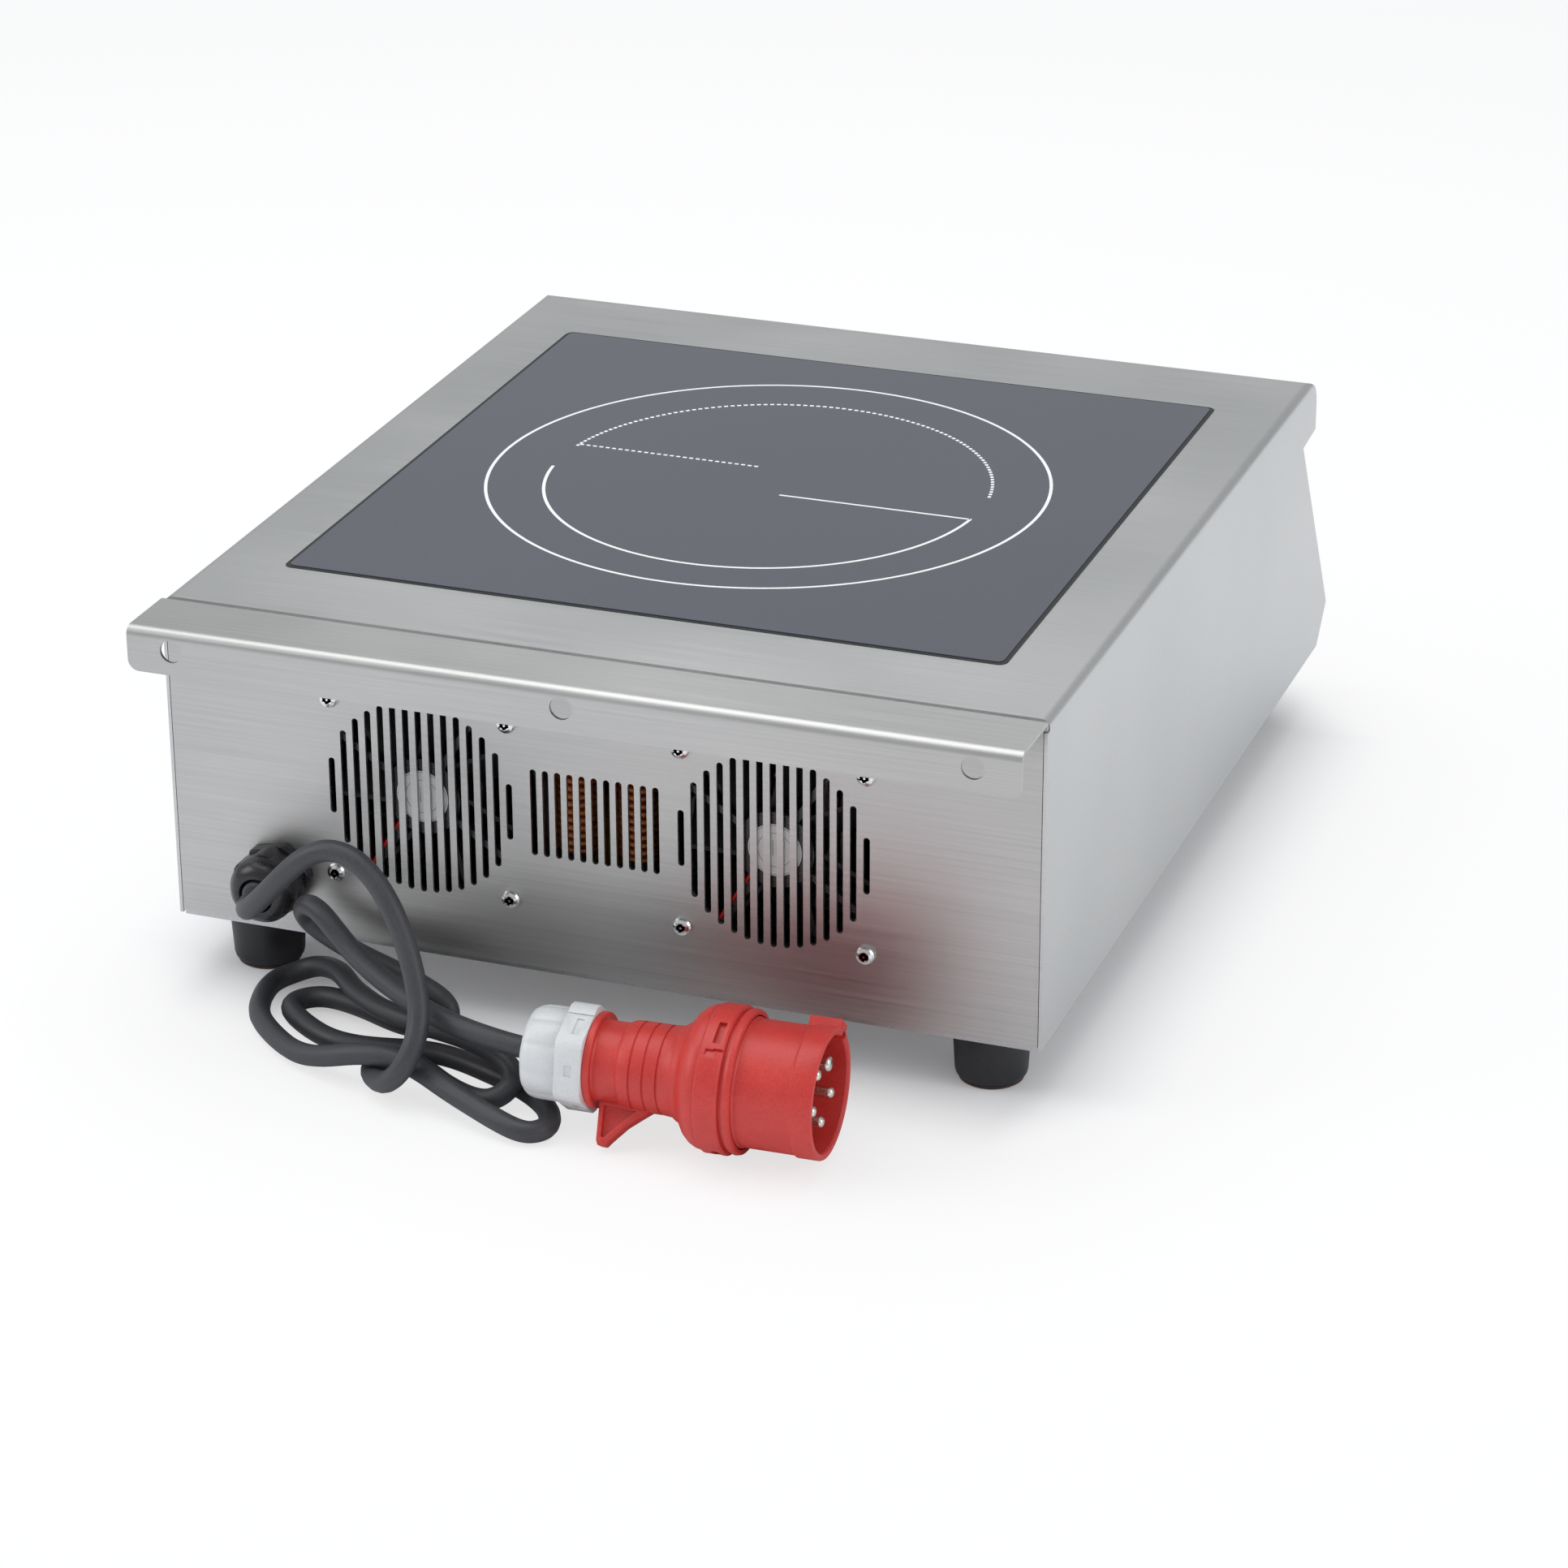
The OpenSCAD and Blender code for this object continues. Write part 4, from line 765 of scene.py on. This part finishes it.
for turn in (CROSS_TURN, CROSS_TURN + math.pi/2):
    bar, lay = add("GeometryNodeMeshCube"), add("GeometryNodeTransform")
    bar.inputs["Size"].default_value = CROSS_SIZE
    lay.inputs["Translation"].default_value = (0, 0, FAN_HEAD["Head Height"])
    lay.inputs["Rotation"].default_value = (0, 0, turn)
    join(bar.outputs["Mesh"], lay.inputs["Geometry"])
    join(lay.outputs[0], cross.inputs[0])
cut = add("GeometryNodeMeshBoolean", operation="DIFFERENCE")
join(parts.outputs[0], cut.inputs["Mesh 1"])
join(cross.outputs[0], cut.inputs["Mesh 2"])
spread = add("GeometryNodeInstanceOnPoints")
spread.inputs["Rotation"].default_value = (math.radians(-90), 0, 0)
join(start.outputs["Places"], spread.inputs["Points"])
join(cut.outputs[0], spread.inputs["Instance"])
join(spread.outputs[0], real.inputs[0])

FAN_X, FAN_Z, SCREW_HALF, REAR_Y, HEAD_GAP = 0.0808, 0.103, 0.04125, 0.22275, 0.0001
fan_places = [(sx*FAN_X + ax*SCREW_HALF, REAR_Y + HEAD_GAP, FAN_Z + az*SCREW_HALF)
              for sx in (-1, 1) for ax in (-1, 1) for az in (-1, 1)]
panel_places = [(x, REAR_Y + HEAD_GAP, 0.171) for x in (-0.179, 0, 0.179)]
fan_heads = run_tree("fan_screw_heads", screw_tree, fan_places, FAN_HEAD)
hand_over(fan_heads, HOUSING, "plated_screws", "fan_screws")
panel_heads = run_tree("panel_screw_heads", screw_tree, panel_places, PANEL_HEAD)
hand_over(panel_heads, HOUSING, "plated_screws", "panel_screws")

# %% [markdown]
# The choke behind the middle vent is wound from enamelled wire. A Curve Spiral gives the turns and a
# round profile follows it, so the number of turns and the wire are inputs.

# %% Choke winding
CHOKE = {"Turns": 12.0, "Wire Radius": 0.0018, "Coil Radius": 0.0085}
CHOKE_X, CHOKE_Y, CHOKE_Z = 0.0145, 0.20525, 0.0820
PITCH_IN_RADII = 2.04
coil_tree, add, join, start, real = node_tree("wound_coil", CHOKE, FINISH["copper_wire"])
helix, wire = add("GeometryNodeCurveSpiral"), add("GeometryNodeCurvePrimitiveCircle")
sweep, pitch = add("GeometryNodeCurveToMesh"), add("ShaderNodeMath", operation="MULTIPLY")
high = add("ShaderNodeMath", operation="MULTIPLY", in_1=PITCH_IN_RADII)
helix.inputs["Resolution"].default_value = 48
wire.inputs["Resolution"].default_value = 8
join(start.outputs["Turns"], helix.inputs["Rotations"])
join(start.outputs["Coil Radius"], helix.inputs["Start Radius"])
join(start.outputs["Coil Radius"], helix.inputs["End Radius"])
join(start.outputs["Wire Radius"], high.inputs[0])
join(high.outputs[0], pitch.inputs[0])
join(start.outputs["Turns"], pitch.inputs[1])
join(pitch.outputs[0], helix.inputs["Height"])
join(start.outputs["Wire Radius"], wire.inputs["Radius"])
join(helix.outputs[0], sweep.inputs["Curve"])
join(wire.outputs[0], sweep.inputs["Profile Curve"])
sweep.inputs["Fill Caps"].default_value = True
join(sweep.outputs[0], real.inputs[0])
for leg, x in (("left", CHOKE_X), ("right", -CHOKE_X)):
    choke = run_tree(f"choke_turns_{leg}", coil_tree, [], CHOKE)
    settle(choke, Matrix.Translation((x, CHOKE_Y, CHOKE_Z)), 60)
    hand_over(choke, HOUSING, "copper_wire", "choke_winding")

# %% [markdown]
# The cooking zone is printed on the glass in white ceramic ink: a full ring, a dashed front half with
# a dashed line, and a plain rear half with a plain line. The plain lines are thin raised strips.
# The dashes of the half ring turn with their place, so Geometry Nodes set one short bar on each
# point. The dashes of the straight line are a plain row of blocks.

# %% Printed cooking zone
GLASS_TOP, INK, ZONE_R, HALF_R = 180.6, 0.05, 129, 101.5
DASH = {"Dash Length": 0.0019, "Dash Width": 0.0015}
LINE_DASHES, LINE_PITCH = 28, 3.2
ink_white = finish("ceramic_ink", (0.86, 0.87, 0.88), (0.92, 0.93, 0.94), (0.30, 0.40), cloud=60.0)


def strip(name, path, width, closed=False):
    """A flat printed line of constant width along a path of (x, y) in millimetres."""
    made = bmesh.new()
    count = len(path)
    rows = []
    for i, (x, y) in enumerate(path):
        before = path[i - 1] if closed or i else path[0]
        after = path[(i + 1) % count] if closed or i < count - 1 else path[-1]
        along = Vector((after[0] - before[0], after[1] - before[1], 0)).normalized()
        side = Vector((-along.y, along.x, 0))*width/2
        rows.append([made.verts.new((Vector((x, y, GLASS_TOP + z)) + side*s)*MM)
                     for s, z in ((-1, 0), (1, 0), (1, INK), (-1, INK))])
    pairs = list(zip(rows, rows[1:])) + ([(rows[-1], rows[0])] if closed else [])
    for a, b in pairs:
        for k in range(4):
            made.faces.new((a[k], a[(k + 1) % 4], b[(k + 1) % 4], b[k]))
    if not closed:
        made.faces.new(rows[0])
        made.faces.new(rows[-1])
    bmesh.ops.recalc_face_normals(made, faces=made.faces)
    piece = as_object(name, made, ink_white)
    return hand_over(piece, HOUSING, "cooktop_glass")


def arc(cx, cy, r, low, high, steps):
    """Points on a circle from the angle low to the angle high, in degrees."""
    turns = [math.radians(low + (high - low)*k/steps) for k in range(steps + 1)]
    return [(cx + r*math.cos(turn), cy + r*math.sin(turn)) for turn in turns]


strip("print_ring", arc(0.6, 5.7, ZONE_R, 0, 360, 240)[:-1], 1.5, True)
strip("print_rear_half", arc(0, 10.0, HALF_R, 5.5, 174.5, 160), 1.5)
strip("print_rear_line", [(-100.8, 20.2), (-10, 20.2)], 1.3)

dash_tree, add, join, start, real = node_tree("printed_dashes", DASH, ink_white)
bar, size = add("GeometryNodeMeshCube"), add("ShaderNodeCombineXYZ", in_2=INK*MM)
centre, heading = add("GeometryNodeInputPosition"), add("ShaderNodeVectorMath", operation="SUBTRACT")
lay, spin = add("GeometryNodeInstanceOnPoints"), add("FunctionNodeAlignRotationToVector", axis="Y")
heading.inputs[1].default_value = (0, 0, GLASS_TOP*MM)
join(start.outputs["Dash Length"], size.inputs[0])
join(start.outputs["Dash Width"], size.inputs[1])
join(size.outputs[0], bar.inputs["Size"])
join(centre.outputs[0], heading.inputs[0])
join(heading.outputs[0], spin.inputs["Vector"])
join(start.outputs["Places"], lay.inputs["Points"])
join(bar.outputs["Mesh"], lay.inputs["Instance"])
join(spin.outputs[0], lay.inputs["Rotation"])
join(lay.outputs[0], real.inputs[0])
dash_z = GLASS_TOP + INK/2
dash_arc = [Vector((x, y, dash_z))*MM for x, y in arc(0, 5.0, HALF_R, 188, 352, 92)]
front_dashes = run_tree("print_front_dashes", dash_tree, dash_arc, DASH)
hand_over(front_dashes, HOUSING, "cooktop_glass")
line_dashes = joined(block((1.9, 1.4, INK), (99 - LINE_PITCH*k, -10.5, dash_z)) for k in range(LINE_DASHES))
hand_over(as_object("print_line_dashes", line_dashes, ink_white), HOUSING, "cooktop_glass")

# %% [markdown]
# The controls sit on a sloped film at the front: a red display window, four buttons and a knob.
# They share one frame, X across, Y up the slope and Z out of the face. The signs are the plain
# ones of any appliance: bars, a plus, a ring, and numbers round the knob.

# %% Control panel frame
FACE_Y, FACE_Z, FACE_TILT = -0.226, 0.09905, 59.2
FACE_PLACE = Matrix.Translation((0, FACE_Y, FACE_Z)) @ Matrix.Rotation(math.radians(FACE_TILT), 4, "X")
FILM, MARK_T = 0.8, 0.06
MARK_Z = FILM + MARK_T/2
KNOB_X, WINDOW_X, BUTTON_XS = 96.0, -72.0, (-27, -1, 25, 51)
mark_white = finish("printed_marks", (0.70, 0.70, 0.70), (0.78, 0.78, 0.78), (0.35, 0.45), cloud=60.0)


def mark(name, solids):
    """Printed signs: thin solids joined into one mesh on the film."""
    piece = as_object(name, joined(solids), mark_white)
    settle(piece, FACE_PLACE)
    return hand_over(piece, HOUSING, "overlay_film")


def loop(x, y, r, width, low=0, high=360, steps=40):
    """A flat printed ring or arc as short bars."""
    bars = []
    step = (high - low)/steps
    for k in range(steps):
        at = math.radians(low + step*(k + 0.5))
        length = 2*r*math.tan(math.radians(step/2)) + 0.05
        turn = Matrix.Translation((x*MM, y*MM, 0)) @ Matrix.Rotation(at, 4, "Z")
        bars.append(block((width, length, MARK_T), (r, 0, MARK_Z), turn))
    return bars


def sign_bar(x, y, wide, tall):
    return block((wide, tall, MARK_T), (x, y, MARK_Z))


# %% Signs above the buttons
SIGN_Y = 15
power_x, mode_x, less_x, more_x = BUTTON_XS
signs = loop(power_x, SIGN_Y, 2.6, 0.5, 115, 425) + [sign_bar(power_x, SIGN_Y + 2.2, 0.5, 2.6)]
signs += loop(mode_x, SIGN_Y, 2.6, 0.5) + loop(mode_x, SIGN_Y, 1.2, 0.5, 0, 360, 24)
signs += [sign_bar(less_x, SIGN_Y, 4.6, 0.6), sign_bar(more_x, SIGN_Y, 4.6, 0.6)]
signs.append(sign_bar(more_x, SIGN_Y, 0.6, 4.6))
mark("button_signs", signs)

# %% [markdown]
# The scale round the knob has ten ticks and ten plain numbers. The ticks repeat round a circle,
# so Geometry Nodes set them; the numbers are text made into meshes before they are placed.

# %% Knob scale
TICK = {"Tick Length": 0.003, "Tick Width": 0.0006}
TICK_R, NUMBER_R, NUMBER_SIZE = 22.5, 28, 5.2
tick_tree, add, join, start, real = node_tree("scale_ticks", TICK, mark_white)
tick, size = add("GeometryNodeMeshCube"), add("ShaderNodeCombineXYZ", in_2=MARK_T*MM)
where, aim = add("GeometryNodeInputPosition"), add("FunctionNodeAlignRotationToVector", axis="X")
lay = add("GeometryNodeInstanceOnPoints")
join(start.outputs["Tick Length"], size.inputs[0])
join(start.outputs["Tick Width"], size.inputs[1])
join(size.outputs[0], tick.inputs["Size"])
join(where.outputs[0], aim.inputs["Vector"])
join(start.outputs["Places"], lay.inputs["Points"])
join(tick.outputs["Mesh"], lay.inputs["Instance"])
join(aim.outputs[0], lay.inputs["Rotation"])
join(lay.outputs[0], real.inputs[0])
scale_angles = [math.radians(225 - 30*k) for k in range(10)]
tick_places = [(TICK_R*MM*math.cos(a), TICK_R*MM*math.sin(a), 0) for a in scale_angles]
ticks = run_tree("knob_scale_ticks", tick_tree, tick_places, TICK)
settle(ticks, FACE_PLACE @ Matrix.Translation((KNOB_X*MM, 0, MARK_Z*MM)))
hand_over(ticks, HOUSING, "overlay_film")
for k, at in enumerate(scale_angles):
    writing = bpy.data.curves.new(f"scale_number_{k + 1}", "FONT")
    writing.body, writing.size, writing.extrude = str(k + 1), NUMBER_SIZE*MM, MARK_T*MM/2
    writing.align_x, writing.align_y = "CENTER", "CENTER"
    holder = placed(f"scale_text_{k + 1}", writing)
    number = placed(f"scale_number_{k + 1}", plain_mesh(holder))
    bpy.data.objects.remove(holder)
    number.data.materials.clear()
    number.data.materials.append(mark_white)
    spot = Vector((KNOB_X + NUMBER_R*math.cos(at), NUMBER_R*math.sin(at), FILM + 0.04))*MM
    settle(number, FACE_PLACE @ Matrix.Translation(spot))
    hand_over(number, HOUSING, "overlay_film")

# %% [markdown]
# The display has four digits of seven bars each behind a dark red window. Unlit bars would hardly
# show, so the bars of a plain reading are a brighter red on the window's face, with a faint painted glow.

# %% Digits
# Painted glow: the unlit bars carry a faint red emission so that they show.
digit_red_painted_glow = finish("digit_red_painted_glow", (0.80, 0.05, 0.03), (0.95, 0.08, 0.05), (0.25, 0.35), cloud=60.0,
                   Emission_Color=(1.0, 0.08, 0.04, 1), Emission_Strength=0.35)
LIT = {0: "abcdef", 1: "bc", 2: "abdeg"}
BARS = {"a": (0, 5, 4, 0.9), "g": (0, 0, 4, 0.9), "d": (0, -5, 4, 0.9), "b": (2.5, 2.5, 0.9, 4),
        "c": (2.5, -2.5, 0.9, 4), "e": (-2.5, -2.5, 0.9, 4), "f": (-2.5, 2.5, 0.9, 4)}
DIGIT_Z = 0.93
segments = []
for place, value in zip((-19.5, -6.5, 6.5, 19.5), (1, 2, 0, 0)):
    for name in LIT[value]:
        x, y, wide, tall = BARS[name]
        segments.append(block((wide, tall, MARK_T), (WINDOW_X + place + x, y, DIGIT_Z)))
digits = as_object("display_digits", joined(segments), digit_red_painted_glow)
settle(digits, FACE_PLACE)
hand_over(digits, HOUSING, "red_window")

# %% [markdown]
# The knob is a moulded cap with a skirt and grip ridges. The ridges are one bar set round a circle
# by Geometry Nodes, and a white line shows where it points.

# %% Knob
RIDGE = {"Ridge Width": 0.0016, "Ridge Height": 0.0115}
RIDGES, RIDGE_R, RIDGE_Z = 24, 0.0152, 0.0106
ridge_tree, add, join, start, real = node_tree("grip_ridges", RIDGE, FINISH["knob_plastic"])
rod, lay = add("GeometryNodeMeshCylinder"), add("GeometryNodeInstanceOnPoints")
half = add("ShaderNodeMath", operation="MULTIPLY", in_1=0.5)
rod.inputs["Vertices"].default_value = 12
join(start.outputs["Ridge Width"], half.inputs[0])
join(half.outputs[0], rod.inputs["Radius"])
join(start.outputs["Ridge Height"], rod.inputs["Depth"])
join(start.outputs["Places"], lay.inputs["Points"])
join(rod.outputs["Mesh"], lay.inputs["Instance"])
join(lay.outputs[0], real.inputs[0])
KNOB_PLACE = FACE_PLACE @ Matrix.Translation((KNOB_X*MM, 0, 0))
knob_line = [(5.8, 1.3), (18.6, 1.3), (19, 1.7), (19, 3.4), (18.4, 4.2), (16.2, 4.4), (15.4, 5.2),
             (15.2, 16), (14.8, 17.6), (13.6, 18.2), (12.8, 17.9), (0, 17.6), (0, 16.5), (3.1, 16.5),
             (3.1, 6.5), (5.8, 6.5)]
knob = as_object("knob_cap", spun(knob_line, 96))
settle(knob, KNOB_PLACE)
hand_over(knob, "knob", "knob_plastic", "control_knob")
ridge_turns = [2*math.pi*k/RIDGES for k in range(RIDGES)]
ridge_places = [(RIDGE_R*math.cos(turn), RIDGE_R*math.sin(turn), RIDGE_Z) for turn in ridge_turns]
ridges = run_tree("knob_grip_ridges", ridge_tree, ridge_places, RIDGE)
settle(ridges, KNOB_PLACE, 50)
hand_over(ridges, "knob", "knob_plastic")
KNOB_REST = Matrix.Rotation(math.radians(135), 4, "Z")
pointer = as_object("knob_pointer", block((0.9, 9, 0.3), (0, 8.6, 17.95)), mark_white)
settle(pointer, KNOB_PLACE @ KNOB_REST)
hand_over(pointer, "knob", "knob_plastic")

# %% [markdown]
# The buttons get a rounded, slightly dished top. The feet are rubber cones with a soft lower edge
# and a thin sole of harder rubber.

# %% Buttons
BUTTON_LINE = [(0, -8.5), (2, -8.5), (2, -4.4), (8.4, -4.4), (8.4, -2.2), (7, -2.2), (7, 1.9), (6.8, 2.4),
               (6.3, 2.6), (5.0, 2.5), (0, 2.25)]
for x, key, slot, node in zip(BUTTON_XS, ("power_key", "mode_key", "timer_less_key", "timer_more_key"),
                              ("red_button", "grey_button", "grey_button", "grey_button"),
                              ("power_button", "mode_button", "timer_less_button", "timer_more_button")):
    cap = as_object(f"{node}_cap", spun(BUTTON_LINE, 64))
    settle(cap, FACE_PLACE @ Matrix.Translation((x*MM, 0, 0)))
    hand_over(cap, key, slot, node)

# %% Feet
FOOT_X, FOOT_REAR_Y, FOOT_FRONT_Y = 170, 196.25, -208.75
FOOT_LINE = [(2.8, 18), (6, 18), (6, 1.6), (13.6, 1.6), (14.6, 2.0), (15.4, 3.0), (15.8, 4.6), (17.1, 26.6),
             (16.9, 27.6), (16.2, 28), (2.8, 28)]
SOLE_LINE = [(6, 0), (13.4, 0), (14.1, 0.5), (14.1, 1.5), (6, 1.5)]
sole = finish("foot_sole", (0.045, 0.022, 0.016), (0.07, 0.035, 0.026), (0.5, 0.65))
for x, y, node in ((FOOT_X, FOOT_REAR_Y, "foot_rear_left"), (-FOOT_X, FOOT_REAR_Y, "foot_rear_right"),
                   (FOOT_X, FOOT_FRONT_Y, "foot_front_left"), (-FOOT_X, FOOT_FRONT_Y, "foot_front_right")):
    place = Matrix.Translation((x*MM, y*MM, 0))
    cone = as_object(f"{node}_rubber", spun(FOOT_LINE, 80))
    settle(cone, place, 40)
    hand_over(cone, HOUSING, "foot_rubber", node)
    disc = as_object(f"{node}_sole", spun(SOLE_LINE, 80), sole)
    settle(disc, place, 40)
    hand_over(disc, HOUSING, "foot_rubber")

# %% [markdown]
# Each fan hub carries a round paper label with two thin rings and plain bars.

# %% Fan labels
LABEL_R, LABEL_T, LABEL_Y = 12, 0.3, 0.22045
ring_grey = finish("label_rings", (0.20, 0.20, 0.22), (0.28, 0.28, 0.30), (0.4, 0.5), cloud=60.0)
for side, x in (("left", FAN_X), ("right", -FAN_X)):
    place = Matrix.Translation((x, LABEL_Y, FAN_Z)) @ Matrix.Rotation(math.radians(-90), 4, "X")
    disc = as_object(f"fan_{side}_label", spun([(0, 0), (LABEL_R, 0), (LABEL_R, LABEL_T), (0, LABEL_T)], 64))
    settle(disc, place)
    hand_over(disc, HOUSING, "label_white", "fan_labels")
    lines = [spun([(r, 0.3), (r + 0.25, 0.3), (r + 0.25, 0.34), (r, 0.34)], 64) for r in (7.6, 11.2)]
    lines += [block((0.3, 7, 0.04), (dx, -1.0, 0.32)) for dx in (-4.2, -2.4, -0.8, 0.8, 2.6, 4.2)]
    rings = as_object(f"fan_{side}_label_lines", joined(lines), ring_grey)
    settle(rings, place)
    hand_over(rings, HOUSING, "label_white")

# %% Sizes and finish
low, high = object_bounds()
{"cad": [list(cad_low), list(cad_high)], "visual": [list(low), list(high)]}
print("visual box", [round(v, 4) for v in (*low, *high)])
